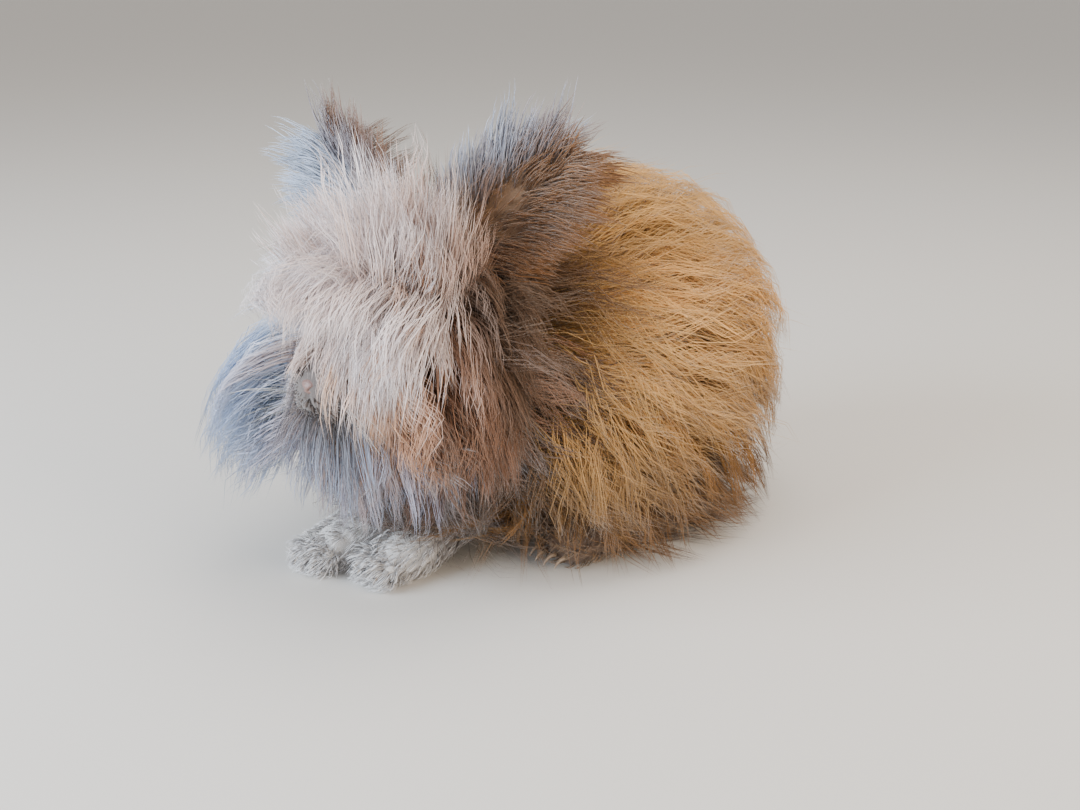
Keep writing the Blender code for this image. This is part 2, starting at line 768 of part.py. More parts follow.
def head_style(s, turn, at, out):
    up, left = float(out @ CROWN), float(out @ FACE_LEFT)
    face = float(np.clip((s - 0.42) / 0.30, 0, 1))
    lie = laid(out, FACE * (0.75 * max(up, 0) + 0.05) + FACE_LEFT * 0.30 * np.sign(left) + DOWN * 0.70)
    flow = 0.042 * (1 - 0.45 * face)
    droop = 0.022 * max(up, 0) * np.clip((s - 0.30) / 0.12, 0, 1)
    fringe = max(up, 0) ** 4
    share = 1 - 0.78 * face - 10 * droop - 0.65 * fringe - 0.3 * np.clip(up + 0.1, 0, 0.6)
    tip = to_ruff_edge(at + out * 0.008 + lie * flow, share)
    rise = (0.024 - 0.016 * face) * (1 - 0.5 * fringe)
    return at + out * rise + lie * 0.008, tip + DOWN * droop


def leg_style(s, turn, at, out):
    lie = laid(out, DOWN * 0.9 + BACKWARD * 0.25)
    tip = to_coat_edge(at + out * 0.006 + lie * 0.044)
    tip[2] = max(tip[2], HEM_HEIGHTS[-1])
    return at + out * 0.012 + lie * 0.012, tip


def tail_style(s, turn, at, out):
    run = unit(TAIL_TIP - TAIL_ROOT)
    return at + out * 0.006 + run * 0.008, at + out * 0.005 + run * 0.020 + DOWN * 0.004


# Cores: the solid under each node's coat, cut clear of its neighbours.
def past_cut(point, normal, way):
    """The half space from half a gap past a parting plane, to its normal's side or the other by way."""
    return half_space(point - unit(normal) * way * GAP / 2, np.array(normal) * way)


def trunk_core_solid():
    node = TRUNK.mesh("torso", trunk_core, TRUNK_RINGS, TRUNK_SEGMENTS)
    boolean(node, "DIFFERENCE", past_cut(TRUNK_CUT_POINT, TRUNK_CUT_NORMAL, 1))
    cut_clear_of_legs(node)
    boolean(node, "DIFFERENCE", tail_form().mesh("cutter", 0.004 + GAP, 6, 10))
    keep_largest(node)
    return node


def cut_clear_of_legs(node):
    """Takes the room of the thighs and hind feet out of a solid."""
    for side in (1, -1):
        boolean(node, "DIFFERENCE", thigh_form(side).mesh("cutter", THIGH_CORE + GAP, 8, 14))
        boolean(node, "DIFFERENCE", foot_form(side).mesh("cutter", GAP, 8, 12))


def neck_core_solid():
    node = NECK.mesh("neck", NECK_CORE, 8, 20)
    boolean(node, "DIFFERENCE", past_cut(HEAD_CUT_POINT, HEAD_CUT_NORMAL, 1))
    boolean(node, "DIFFERENCE", past_cut(TRUNK_CUT_POINT, TRUNK_CUT_NORMAL, -1))
    keep_largest(node)
    return node


def head_core_solid():
    node = HEAD.mesh("head", head_core, HEAD_RINGS, HEAD_SEGMENTS)
    boolean(node, "DIFFERENCE", past_cut(HEAD_CUT_POINT, HEAD_CUT_NORMAL, -1))
    axes = np.array((FACE, FACE_LEFT, CROWN))
    for side in (1, -1):
        boolean(node, "UNION", ball("lids", eye_centre(side), (EYE_RADIUS + LID_THICKNESS,) * 3, axes, 14, 8))
        boolean(node, "DIFFERENCE", ball("socket", eye_centre(side), (EYE_RADIUS + GAP,) * 3, axes, 12, 8))
        slit = eye_centre(side) + eye_way(side) * 0.0085
        boolean(node, "DIFFERENCE", ball("slit", slit, (0.0082, 0.0062, 0.0058), axes, 12, 6))
        lip = in_head(0.0500, 0.0062 * side, -0.0105)
        boolean(node, "UNION", ball("lip", lip, (0.0095, 0.0078, 0.0075), axes, 10, 6))
    lower_lip = in_head(0.0455, 0, -0.0200)
    boolean(node, "UNION", ball("lower_lip", lower_lip, (0.0085, 0.0075, 0.0052), axes, 10, 6))
    nose = in_head(NOSE_FORWARD - 0.004, 0, NOSE_UP)
    boolean(node, "UNION", ball("nose", nose, (0.0052, 0.0062, 0.0050), axes, 10, 6))
    mouth = ball("mouth", in_head(0.0600, 0, -0.0165), (0.0140, 0.0120, 0.0008), axes, 12, 4)
    boolean(node, "DIFFERENCE", mouth)
    parting = ball("parting", in_head(0.0640, 0, -0.0090), (0.0080, 0.0007, 0.0075), axes, 8, 6)
    boolean(node, "DIFFERENCE", parting)
    for side in (1, -1):
        nostril = in_head(NOSE_FORWARD + 0.0002, 0.0038 * side, NOSE_UP + 0.0002)
        boolean(node, "DIFFERENCE", ball("nostril", nostril, (0.0020, 0.0020, 0.0009), axes, 8, 4))
    keep_largest(node)
    return node


def eye_solid(side):
    axes = np.array((FACE, FACE_LEFT, CROWN))
    name = "eye_left" if side > 0 else "eye_right"
    return ball(name, eye_centre(side), (EYE_RADIUS,) * 3, axes, 12, 8)


def foreleg_core_solid(side):
    form = foreleg_form(side)
    node = form.mesh("foreleg_left" if side > 0 else "foreleg_right", 0.001, 10, 14)
    cutter = TRUNK.mesh("cutter", lambda s, t: trunk_core(s, t) + GAP, TRUNK_RINGS, TRUNK_SEGMENTS)
    boolean(node, "DIFFERENCE", cutter)
    boolean(node, "DIFFERENCE", half_space((0, 0, 0), DOWN))
    for place in (-1, 0, 1):
        groove = FOREPAW[side] + np.array((TOE_WIDTH * place, -PAW_HALF_WIDTH * 1.45, 0.005))
        boolean(node, "DIFFERENCE", ball("groove", groove, (0.0009, 0.0085, 0.0080), None, 6, 5))
    keep_largest(node)
    return node


def hindleg_core_solid(side):
    thigh, foot = thigh_form(side), foot_form(side)
    node = thigh.mesh("hindleg_left" if side > 0 else "hindleg_right", THIGH_CORE, 8, 14)
    boolean(node, "UNION", foot.mesh("foot", 0.0, 8, 12))
    boolean(node, "DIFFERENCE", half_space((0, 0, 0), DOWN))
    keep_largest(node)
    return node


def tail_core_solid():
    return tail_form().mesh("tail", 0.004, 6, 10)


def ear_core_solid(side):
    """A cupped leaf, open forward and out."""
    root, tip = ear_axis(side)
    run = unit(tip - root)
    across = unit(np.cross(run, CROWN * 0.2 + FACE + FACE_LEFT * (0.0 if side > 0 else 0.35))) * side
    opening = unit(np.cross(across, run))
    opening = opening * np.sign(opening @ (FACE + FACE_LEFT * side * 0.4))
    length = np.linalg.norm(tip - root)
    rows, columns = 8, 6
    v = np.linspace(-0.04, 1, rows)
    u = np.linspace(-1, 1, columns)
    half = ear_half_width(v)
    cup = EAR_CUP_DEPTH * (1 - u**2) * np.interp(v, (0, 0.5, 1), (1.3, 1, 0.2))[:, None]
    grid = root + run * (v * length)[:, None, None] + across * (half[:, None] * u)[..., None]
    grid = grid - opening * cup[..., None]
    node = sheet_solid("ear_left" if side > 0 else "ear_right", grid, EAR_THICKNESS)
    cutter = HEAD.mesh("cutter", lambda s, t: head_core(s, t) + GAP, HEAD_RINGS, HEAD_SEGMENTS)
    boolean(node, "DIFFERENCE", cutter)
    keep_largest(node)
    node["across"], node["opening"] = list(across), list(opening)
    return node


def ear_half_width(v):
    stations, shares = (-0.04, 0.1, 0.45, 0.75, 0.92, 1), (0.40, 0.52, 1.0, 0.82, 0.46, 0.14)
    return EAR_HALF_WIDTH * np.interp(v, stations, shares)


def sheet_solid(name, grid, thickness):
    """A closed shell from a grid of points, thickened evenly to both sides."""
    rows, columns = grid.shape[:2]
    faces = [(r * columns + c, r * columns + c + 1, (r + 1) * columns + c + 1, (r + 1) * columns + c)
             for r in range(rows - 1) for c in range(columns - 1)]
    data = bpy.data.meshes.new(name)
    data.from_pydata([tuple(map(float, p)) for p in grid.reshape(-1, 3)], [], faces)
    made = bpy.data.objects.new(name, data)
    RABBIT.objects.link(made)
    shell = made.modifiers.new("thickness", "SOLIDIFY")
    shell.thickness = thickness
    shell.offset = 0
    apply_modifiers(made)
    if signed_volume(made.data) < 0:
        made.data.flip_normals()
    return made


# Coats: locks grown on each core and joined to it.
def clear_of_rest(node):
    """Rules that keep a node's coat off every other node as it stands so far."""
    return [outside_solid(other) for other in RABBIT.objects if other != node]


def coat_trunk(node):
    rules = [BEHIND_NECK, ABOVE_FLOOR] + CLEAR_OF_EARS + outside_limbs()
    rules += clear_of_rest(node)
    rows = np.linspace(0.08, 0.96, 14)
    spots = spots_on(TRUNK, rows, math.radians(-66), math.radians(246), 0.031, trunk_core)
    locks = grow(TRUNK, spots, trunk_core, trunk_style, rules, 0.036, 0.010, 0.008)
    narrow = [(s, math.radians(turn)) for s in (0.80, 0.88, 0.94) for turn in (-112, -90, -68)]
    narrow += [(s, math.radians(turn)) for s in (0.16, 0.27) for turn in (-62, -38, 218, 242)]
    locks += grow(TRUNK, narrow, trunk_core, trunk_style, rules, 0.024, 0.008, 0.008)
    chest = [(s, math.radians(turn)) for s in (0.07, 0.14, 0.21) for turn in (-112, -90, -68)]
    locks += grow(TRUNK, chest, trunk_core, chest_style, rules, 0.018, 0.008, 0.008)
    fuse(node, locks)
    cut_clear_of_legs(node)
    keep_largest(node)


def coat_neck(node):
    rules = [BEHIND_HEAD, NECK_SIDE, ABOVE_FLOOR] + CLEAR_OF_EARS + outside_limbs()
    rules += clear_of_rest(node)
    spots = [(s, turn) for s in (0.40, 0.50) for turn in np.linspace(0, 2 * math.pi, 12, endpoint=False)]
    fuse(node, grow(NECK, spots, NECK_CORE, neck_style, rules, 0.026, 0.008, 0.008))


def coat_head(node):
    rules = [HEAD_SIDE, ABOVE_FLOOR] + CLEAR_OF_EARS + clear_of_eyes() + outside_limbs()
    rules += clear_of_rest(node)
    rows = (0.22, 0.30, 0.37, 0.44, 0.51, 0.58)
    spots = spots_on(HEAD, rows, math.radians(-88), math.radians(268), 0.023, head_core)
    spots = [(s, turn) for s, turn in spots if s > 0.40 or abs(turn - math.pi / 2) > 0.75]
    locks = grow(HEAD, spots, head_core, head_style, rules, 0.025, 0.0065, 0.007)
    crown = [(s, math.radians(turn)) for s in (0.26, 0.35) for turn in (68, 90, 112)]
    fuse(node, locks + grow(HEAD, crown, head_core, head_style, rules, 0.016, 0.005, 0.007))


def coat_ear(node, side):
    """A fringe of locks round the ear's edge and tip, hanging a little."""
    root, tip = ear_axis(side)
    run, length = unit(tip - root), np.linalg.norm(tip - root)
    across, opening = np.array(node["across"]), np.array(node["opening"])
    rules = [ear_room(side, True)] + clear_of_rest(node)
    fringe = []
    for share in (0.48, 0.68, 0.88):
        for edge in (-1, 1):
            at = root + run * share * length + across * edge * ear_half_width(share) * 0.78
            fringe.append((at, unit(across * edge * (1.05 - 0.5 * share) + run * 0.65)))
    fringe.append((root + run * length * 0.93, unit(run + across * 0.15)))
    fringe.append((root + run * length * 0.90, unit(run - across * 0.35)))
    locks = []
    for at, way in fringe:
        reach = 0.036 * draw.uniform(0.9, 1.15)
        sag = unit(way + DOWN * 0.45)
        path = [at, at + way * reach * 0.3]
        for _ in range(3):
            path.append(path[-1] + sag * reach * 0.23)
        locks.append(lock(path, opening, 0.024, 0.0036, rules))
    fuse(node, locks)


def coat_hindleg(node, side):
    room = inside_either(inside_planes(skirt_planes(side)), inside_solid(node))
    rules = [room, ABOVE_FLOOR] + clear_of_rest(node)
    outer, way = (math.pi, -1) if side > 0 else (0.0, 1)
    spots = [(s, outer + way * turn) for turn in (0.10, -0.45) for s in np.linspace(0.06, 0.88, 7)]
    fuse(node, grow(thigh_form(side), spots, THIGH_CORE, leg_style, rules, 0.032, 0.009, 0.006))


def coat_tail(node):
    rules = [inside_rods([tail_rod()]), ABOVE_FLOOR] + clear_of_rest(node)
    spots = [(s, turn + s) for s in (0.72, 0.86) for turn in np.linspace(0, 2 * math.pi, 5, endpoint=False)]
    fuse(node, grow(tail_form(), spots, 0.004, tail_style, rules, 0.015, 0.006, 0.005))


def stand_on_base(nodes):
    """Moves the whole rabbit so that the middle of its base is the origin."""
    points = np.vstack([np.array([v.co for v in node.data.vertices]) for node in nodes])
    low, high = points.min(0), points.max(0)
    shift = Vector((-(low[0] + high[0]) / 2, -(low[1] + high[1]) / 2, 0))
    for node in nodes:
        for vertex in node.data.vertices:
            vertex.co += shift


for old in list(bpy.data.objects):
    bpy.data.objects.remove(old)
RABBIT = bpy.data.collections.new("angora_rabbit")
bpy.context.scene.collection.children.link(RABBIT)

trunk, neck, head, tail = trunk_core_solid(), neck_core_solid(), head_core_solid(), tail_core_solid()
ears = {side: ear_core_solid(side) for side in (1, -1)}
eyes = {side: eye_solid(side) for side in (1, -1)}
forelegs = {side: foreleg_core_solid(side) for side in (1, -1)}
hindlegs = {side: hindleg_core_solid(side) for side in (1, -1)}

coat_trunk(trunk)
coat_neck(neck)
coat_head(head)
coat_tail(tail)
for body_side in (1, -1):
    coat_ear(ears[body_side], body_side)
    coat_hindleg(hindlegs[body_side], body_side)

all_nodes = [trunk, neck, head, tail, *ears.values(), *eyes.values(), *forelegs.values(), *hindlegs.values()]
stand_on_base(all_nodes)
for finished in all_nodes:
    finish(finished, COLOURS[finished.name], 0.2 if finished in eyes.values() else 0.8)
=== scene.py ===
import math

import bpy
import numpy as np
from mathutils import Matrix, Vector


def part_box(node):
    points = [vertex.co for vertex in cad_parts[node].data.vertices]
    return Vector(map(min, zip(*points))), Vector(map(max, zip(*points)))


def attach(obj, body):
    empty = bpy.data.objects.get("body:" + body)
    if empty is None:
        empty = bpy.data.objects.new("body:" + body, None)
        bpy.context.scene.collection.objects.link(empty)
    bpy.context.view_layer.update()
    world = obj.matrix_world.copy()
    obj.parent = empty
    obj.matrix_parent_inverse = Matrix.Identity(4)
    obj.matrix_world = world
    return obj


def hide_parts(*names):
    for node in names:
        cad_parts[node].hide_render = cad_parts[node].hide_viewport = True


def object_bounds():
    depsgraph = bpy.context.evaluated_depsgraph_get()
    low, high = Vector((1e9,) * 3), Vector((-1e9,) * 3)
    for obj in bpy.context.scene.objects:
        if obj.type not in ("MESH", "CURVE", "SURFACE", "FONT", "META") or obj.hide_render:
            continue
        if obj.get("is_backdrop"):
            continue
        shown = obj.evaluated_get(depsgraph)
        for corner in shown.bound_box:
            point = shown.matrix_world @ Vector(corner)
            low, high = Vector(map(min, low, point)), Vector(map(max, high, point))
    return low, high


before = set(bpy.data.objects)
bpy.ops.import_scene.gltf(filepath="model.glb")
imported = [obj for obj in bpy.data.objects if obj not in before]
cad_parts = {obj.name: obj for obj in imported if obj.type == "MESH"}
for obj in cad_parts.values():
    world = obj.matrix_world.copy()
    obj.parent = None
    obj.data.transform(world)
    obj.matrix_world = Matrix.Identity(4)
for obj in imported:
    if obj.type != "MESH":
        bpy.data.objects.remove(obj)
cad_low, cad_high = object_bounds()

# The hide: one tanned skin drawn over the whole modelled body, from the nose to the tail and the toes.
# It is worked out from the same rounded forms as the solids, without their cores of underwool, and the
# forms are joined with no seam. It carries the same markings as the coat that grows on it.

# A row of the trunk has the spine's y and z, the half width, the rise above the spine and the fall below.
TRUNK_ROWS = (
    (-0.086, 0.084, 0.000, 0.000, 0.000),
    (-0.080, 0.085, 0.024, 0.028, 0.026),
    (-0.062, 0.087, 0.040, 0.043, 0.040),
    (-0.030, 0.090, 0.048, 0.053, 0.047),
    (0.010, 0.092, 0.053, 0.062, 0.050),
    (0.050, 0.090, 0.056, 0.066, 0.050),
    (0.085, 0.084, 0.052, 0.060, 0.046),
    (0.110, 0.077, 0.036, 0.042, 0.034),
    (0.122, 0.072, 0.016, 0.020, 0.016),
    (0.126, 0.070, 0.000, 0.000, 0.000),
)
# A row of the head has the spine's places forward and up in the head's own frame, and the same sizes.
HEAD_ROWS = (
    (-0.046, 0.002, 0.0000, 0.0000, 0.0000),
    (-0.042, 0.002, 0.0150, 0.0160, 0.0140),
    (-0.031, 0.001, 0.0250, 0.0260, 0.0240),
    (-0.012, 0.000, 0.0315, 0.0340, 0.0340),
    (0.008, 0.000, 0.0310, 0.0330, 0.0370),
    (0.026, -0.001, 0.0250, 0.0260, 0.0320),
    (0.042, -0.002, 0.0195, 0.0180, 0.0240),
    (0.053, -0.003, 0.0145, 0.0115, 0.0165),
    (0.059, -0.004, 0.0075, 0.0060, 0.0080),
    (0.061, -0.004, 0.0000, 0.0000, 0.0000),
)
NECK_LINE = ((0.010, -0.045, 0.104), (0.017, -0.070, 0.120), (0.024, -0.095, 0.136))
NECK_RADIUS = 0.034
HEAD_MIDDLE = (0.028, -0.108, 0.139)
HEAD_TURN = math.radians(14)
HEAD_DROP = math.radians(14)
EYE_PLACE = (0.013, 0.0262, 0.009)
EYE_RADIUS = 0.0088
FOREPAW = {1: (0.023, -0.096, 0.010), -1: (-0.012, -0.114, 0.010)}
FORELEG_TOP = {1: (0.032, -0.040, 0.048), -1: (-0.030, -0.048, 0.050)}
FORELEG_RADIUS = 0.0125
PAW_HALF_WIDTH = 0.0138
TOE_PLACES = (-1.5, -0.5, 0.5, 1.5)
TOE_SPACING, TOE_BACK = 0.0066, 0.0022
TOE_RADII = (0.0062, 0.0042, 0.0052)
THIGH_TOP, KNEE = (0.043, 0.100, 0.066), (0.056, 0.010, 0.048)
THIGH_RADII = (0.022, 0.030, 0.029, 0.020)
HIND_FOOT_X = 0.066
HIND_FOOT_Y = (0.084, -0.018)
HIND_FOOT_HALF_WIDTH = 0.0165
FOOT_FLATNESS = 0.86
TAIL_ROOT = np.array((0.0, 0.132, 0.080))
TAIL_TIP = np.array((0.002, 0.157, 0.108))
SKIN_VOXEL = 0.0017
DOWN = np.array((0.0, 0.0, -1.0))
BACK = np.array((0.0, 1.0, 0.0))

FACE = np.array((
    math.sin(HEAD_TURN) * math.cos(HEAD_DROP),
    -math.cos(HEAD_TURN) * math.cos(HEAD_DROP),
    -math.sin(HEAD_DROP),
))
FACE_LEFT = np.array((math.cos(HEAD_TURN), math.sin(HEAD_TURN), 0.0))
CROWN = np.cross(FACE, FACE_LEFT)
HEAD_AXES = np.array((FACE, FACE_LEFT, CROWN))

# The solids stand on the middle of their base, so the whole body is set by the left eye's place.
eye_box = np.array(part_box("eye_left"))
eye_from_head = np.array(HEAD_MIDDLE) + np.array(EYE_PLACE) @ HEAD_AXES
PLACE = (eye_box.mean(0) - eye_from_head) * (1, 1, 0)
HEAD_AT = np.array(HEAD_MIDDLE) + PLACE


def unit(vector):
    """The vector, or the last axis of an array of vectors, at length one."""
    vector = np.asarray(vector, float)
    return vector / np.maximum(np.linalg.norm(vector, axis=-1, keepdims=True), 1e-12)


def on_head(place, side=1):
    """A point given in the head's own frame: forward along the face, to its left or right, and up."""
    forward, outward, up = place
    return HEAD_AT + FACE * forward + FACE_LEFT * (outward * side) + CROWN * up


def in_head(points):
    """Points read in the head's own frame."""
    return (points - HEAD_AT) @ HEAD_AXES.T


def through(values, s):
    """A smooth curve through evenly spaced values, read at s from 0 to 1 (Catmull-Rom)."""
    values = np.asarray(values, float)
    last = len(values) - 1
    place = np.clip(np.asarray(s, float), 0, 1) * last
    i = np.minimum(place.astype(int), last - 1)
    t = place - i
    if values.ndim > 1:
        t = t[..., None]
    before, here = values[np.maximum(i - 1, 0)], values[i]
    there, after = values[i + 1], values[np.minimum(i + 2, last)]
    return 0.5 * (
        2 * here
        + (there - before) * t
        + (2 * before - 5 * here + 4 * there - after) * t**2
        + (3 * here - before - 3 * there + after) * t**3
    )


def form(spine, halves, rises, falls, up):
    """Oval sections on a spine: half width, rise above and fall below it, closed at both ends."""
    return {"spine": np.asarray(spine, float) + PLACE, "sizes": np.column_stack((halves, rises, falls)),
            "up": unit(up)}


def form_frame(body, s):
    """Middle of the section at s with its side and up directions and its three sizes."""
    along = unit(through(body["spine"], s + 0.02) - through(body["spine"], s - 0.02))
    side = unit(np.cross(along, body["up"]))
    return through(body["spine"], s), side, np.cross(side, along), np.maximum(through(body["sizes"], s), 0)


def form_point(body, s, turn):
    """Surface point: middle + side * half * cos(turn) + up * height * sin(turn).

    The height goes from the fall to the rise with the sine of the turn.
    """
    s, turn = np.broadcast_arrays(np.asarray(s, float), np.asarray(turn, float))
    middle, side, up, sizes = form_frame(body, s)
    half, rise, fall = np.moveaxis(sizes, -1, 0)
    height = (rise + fall) / 2 + (rise - fall) / 2 * np.sin(turn)
    return middle + side * (half * np.cos(turn))[..., None] + up * (height * np.sin(turn))[..., None]


def form_out(body, s, turn):
    """Outward normal there, from two short steps along the surface."""
    s = np.clip(s, 0.012, 0.988)
    step = 0.004
    lengthwise = form_point(body, s + step, turn) - form_point(body, s - step, turn)
    around = form_point(body, s, turn + step) - form_point(body, s, turn - step)
    found = unit(np.cross(lengthwise, around))
    outward = form_point(body, s, turn) - through(body["spine"], s)
    return found * np.where((found * outward).sum(-1, keepdims=True) < 0, -1.0, 1.0)


def limb(points, radii, up, flatness=1.0):
    """A round form through the points, drawn in to a point just past each end."""
    points, radii = np.asarray(points, float), np.asarray(radii, float)
    first = points[0] + unit(points[0] - points[1]) * radii[0] * 0.75
    last = points[-1] + unit(points[-1] - points[-2]) * radii[-1] * 0.75
    size = np.concatenate(([0], radii, [0]))
    return form(np.vstack((first, points, last)), size, size * flatness, size * flatness, up)


def ball_form(middle, radii):
    """An egg of three radii along the head's axes, for the fleshy pads of the face and the toes."""
    along = np.linspace(-1, 1, 9)
    round_off = np.sqrt(np.maximum(1 - along**2, 0))
    spine = np.array(middle) - PLACE + along[:, None] * radii[0] * FACE
    return form(spine, radii[1] * round_off, radii[2] * round_off, radii[2] * round_off, CROWN)


def toe_form(side, i):
    """The fleshy end of a forepaw's toe: an egg, set a little back as it is further from the paw's middle."""
    place = (TOE_SPACING * i, -0.0195 + TOE_BACK * abs(i), -0.0015)
    return ball_form(np.array(FOREPAW[side]) + PLACE + place, TOE_RADII)


def foreleg_form(side):
    """Elbow, wrist, paw and toes of a foreleg."""
    top, paw = np.array(FORELEG_TOP[side]), np.array(FOREPAW[side])
    wrist = paw + (0, 0.026, 0.012)
    toe = paw + (0, -0.010, -0.001)
    elbow = (top + wrist) / 2 + (0, 0.006, 0)
    radii = (FORELEG_RADIUS * 1.25, FORELEG_RADIUS, FORELEG_RADIUS, PAW_HALF_WIDTH, PAW_HALF_WIDTH * 0.85)
    return limb((top, elbow, wrist, paw, toe), radii, (0, -0.5, 0.8))


def thigh_form(side):
    """The thigh from the rump to the knee."""
    rump, knee = np.array(THIGH_TOP) * (side, 1, 1), np.array(KNEE) * (side, 1, 1)
    return limb([rump + (knee - rump) * t for t in (0, 0.33, 0.67, 1)], THIGH_RADII, (0, 0, 1))


def hind_foot_form(side):
    """The long hind foot, flat on the floor from heel to toe."""
    y = np.linspace(*HIND_FOOT_Y, 5)
    radii = np.array((0.72, 0.82, 0.9, 1.0, 0.86)) * HIND_FOOT_HALF_WIDTH
    points = np.column_stack((np.full(5, HIND_FOOT_X * side), y, radii * FOOT_FLATNESS - 0.0012))
    return limb(points, radii, (0, 0, 1), FOOT_FLATNESS)


trunk_rows, head_rows = np.array(TRUNK_ROWS), np.array(HEAD_ROWS)
trunk_spine = np.column_stack((np.zeros(len(trunk_rows)), trunk_rows[:, :2]))
head_spine = np.array(HEAD_MIDDLE) + head_rows[:, :1] * FACE + head_rows[:, 1:2] * CROWN
TRUNK = form(trunk_spine, *trunk_rows[:, 2:].T, (0, 0, 1))
HEAD = form(head_spine, *head_rows[:, 2:].T, CROWN)
NECK = limb(NECK_LINE, (NECK_RADIUS,) * 3, (0, 0, 1))
FORELEGS = {side: foreleg_form(side) for side in (1, -1)}
THIGHS = {side: thigh_form(side) for side in (1, -1)}
HIND_FEET = {side: hind_foot_form(side) for side in (1, -1)}
TAIL = limb([TAIL_ROOT + (TAIL_TIP - TAIL_ROOT) * t for t in (0, 0.45, 1)], (0.009, 0.012, 0.009), (0, 0, 1))
# The left and right pads of the upper lip, the chin and the bridge of the nose.
FACE_PADS = (
    ball_form(on_head((0.0500, 0.0062, -0.0105)), (0.0095, 0.0078, 0.0075)),
    ball_form(on_head((0.0500, 0.0062, -0.0105), -1), (0.0095, 0.0078, 0.0075)),
    ball_form(on_head((0.0455, 0, -0.0200)), (0.0085, 0.0075, 0.0052)),
    ball_form(on_head((0.0460, 0, 0.0035)), (0.0130, 0.0090, 0.0060)),
)
TOES = {side: [toe_form(side, i) for i in TOE_PLACES] for side in (1, -1)}


def closed_grid(body, rings, segments):
    """Points and triangles of a form as a closed loft, with a fan to the point at each end."""
    s = np.linspace(0, 1, rings + 2)[1:-1]
    turn = np.linspace(0, 2 * math.pi, segments, endpoint=False)
    points = form_point(body, *np.meshgrid(s, turn, indexing="ij")).reshape(-1, 3)
    points = np.vstack((points, body["spine"][:1], body["spine"][-1:]))
    return points, loft_faces(rings, segments)


def triangles(*corners):
    """Triangles from sets of three arrays of corners, one triangle to each place of a set's arrays."""
    return np.concatenate([np.stack(three, -1).reshape(-1, 3) for three in corners])


def loft_faces(rings, segments):
    """Triangles between rings of points, and from the first and last ring to the two last points."""
    k = np.arange(segments)
    after = (k + 1) % segments
    start = (np.arange(rings - 1) * segments)[:, None]
    low, low_after = start + k, start + after
    high, high_after = low + segments, low_after + segments
    walls = triangles((low, low_after, high_after), (low, high_after, high))
    end = (rings - 1) * segments
    caps = [np.column_stack((np.full(segments, rings * segments), after, k)),
            np.column_stack((np.full(segments, rings * segments + 1), end + k, end + after))]
    return np.concatenate((walls, *caps))


def outward(points, faces):
    """The triangles, turned round if the volume inside them (the sum of a . (b x c)) comes out negative."""
    corners = points[faces]
    volume = (corners[:, 0] * np.cross(corners[:, 1], corners[:, 2])).sum()
    return faces[:, ::-1] if volume < 0 else faces


def make_mesh(name, points, faces):
    """A smooth-shaded mesh object from arrays of points and triangles, turned to face outward."""
    faces = outward(points, faces)
    data = bpy.data.meshes.new(name)
    data.vertices.add(len(points))
    data.vertices.foreach_set("co", points.astype(np.float32).ravel())
    data.loops.add(len(faces) * 3)
    data.loops.foreach_set("vertex_index", np.ascontiguousarray(faces, np.int32).ravel())
    data.polygons.add(len(faces))
    data.polygons.foreach_set("loop_start", np.arange(0, len(faces) * 3, 3, dtype=np.int32))
    data.polygons.foreach_set("use_smooth", np.ones(len(faces), bool))
    data.update(calc_edges=True)
    made = bpy.data.objects.new(name, data)
    bpy.context.scene.collection.objects.link(made)
    return made


def joined(pieces):
    """Points and triangles of several (points, faces) pairs as one."""
    starts = np.cumsum([0] + [len(points) for points, faces in pieces[:-1]])
    return (np.vstack([points for points, faces in pieces]),
            np.vstack([faces + start for (points, faces), start in zip(pieces, starts)]))


def linear(hex_colour):
    """An sRGB hex colour as linear red, green and blue."""
    value = np.array([int(hex_colour[i:i + 2], 16) for i in (1, 3, 5)]) / 255
    return np.where(value <= 0.04045, value / 12.92, ((value + 0.055) / 1.055) ** 2.4)


# The markings, as soft-edged ovals in the order that they are laid on the golden ground: middle, radii and
# colour. Those of the head are given in its own frame.
GOLD = linear("#C8934F")
SHOULDER = ((0.030, -0.074, 0.115), (0.110, 0.036, 0.080))
NAPE = ((0.015, -0.052, 0.150), (0.075, 0.048, 0.042))
# The temple mark is painted shade: the dark hollow behind the near cheek, under the ear.
TEMPLE_SHADE = ((-0.030, 0.026, 0.008), (0.026, 0.028, 0.028))
LEFT_CHEEK = ((-0.005, 0.034, -0.014), (0.044, 0.026, 0.034))
BODY_MARKS = (
    ("saddle", (0.000, 0.030, 0.170), (0.070, 0.110, 0.045), "#C19253"),
    ("rump", (0.000, 0.130, 0.080), (0.090, 0.060, 0.080), "#B5854B"),
    # The near flank's lighter patch is a painted pool of light on the side that faces the lamps.
    ("flank painted light", (0.060, -0.005, 0.100), (0.050, 0.060, 0.044), "#E2AF66"),
    # The shoulder and nape marks are partly the coat's own smoky colour and partly painted shade behind the
    # head and under the ears.
    ("shoulder smoke", *SHOULDER, "#664B35"),
    ("nape", *NAPE, "#694C34"),
    # The belly's dark oval is painted shade under the body.
    ("belly painted shade", (0.000, 0.010, 0.010), (0.140, 0.180, 0.036), "#6A5546"),
    ("chest", (0.010, -0.090, 0.050), (0.070, 0.045, 0.055), "#8C7A6C"),
    ("paws", (0.006, -0.110, 0.006), (0.060, 0.046, 0.032), "#DDD8D5"),
)
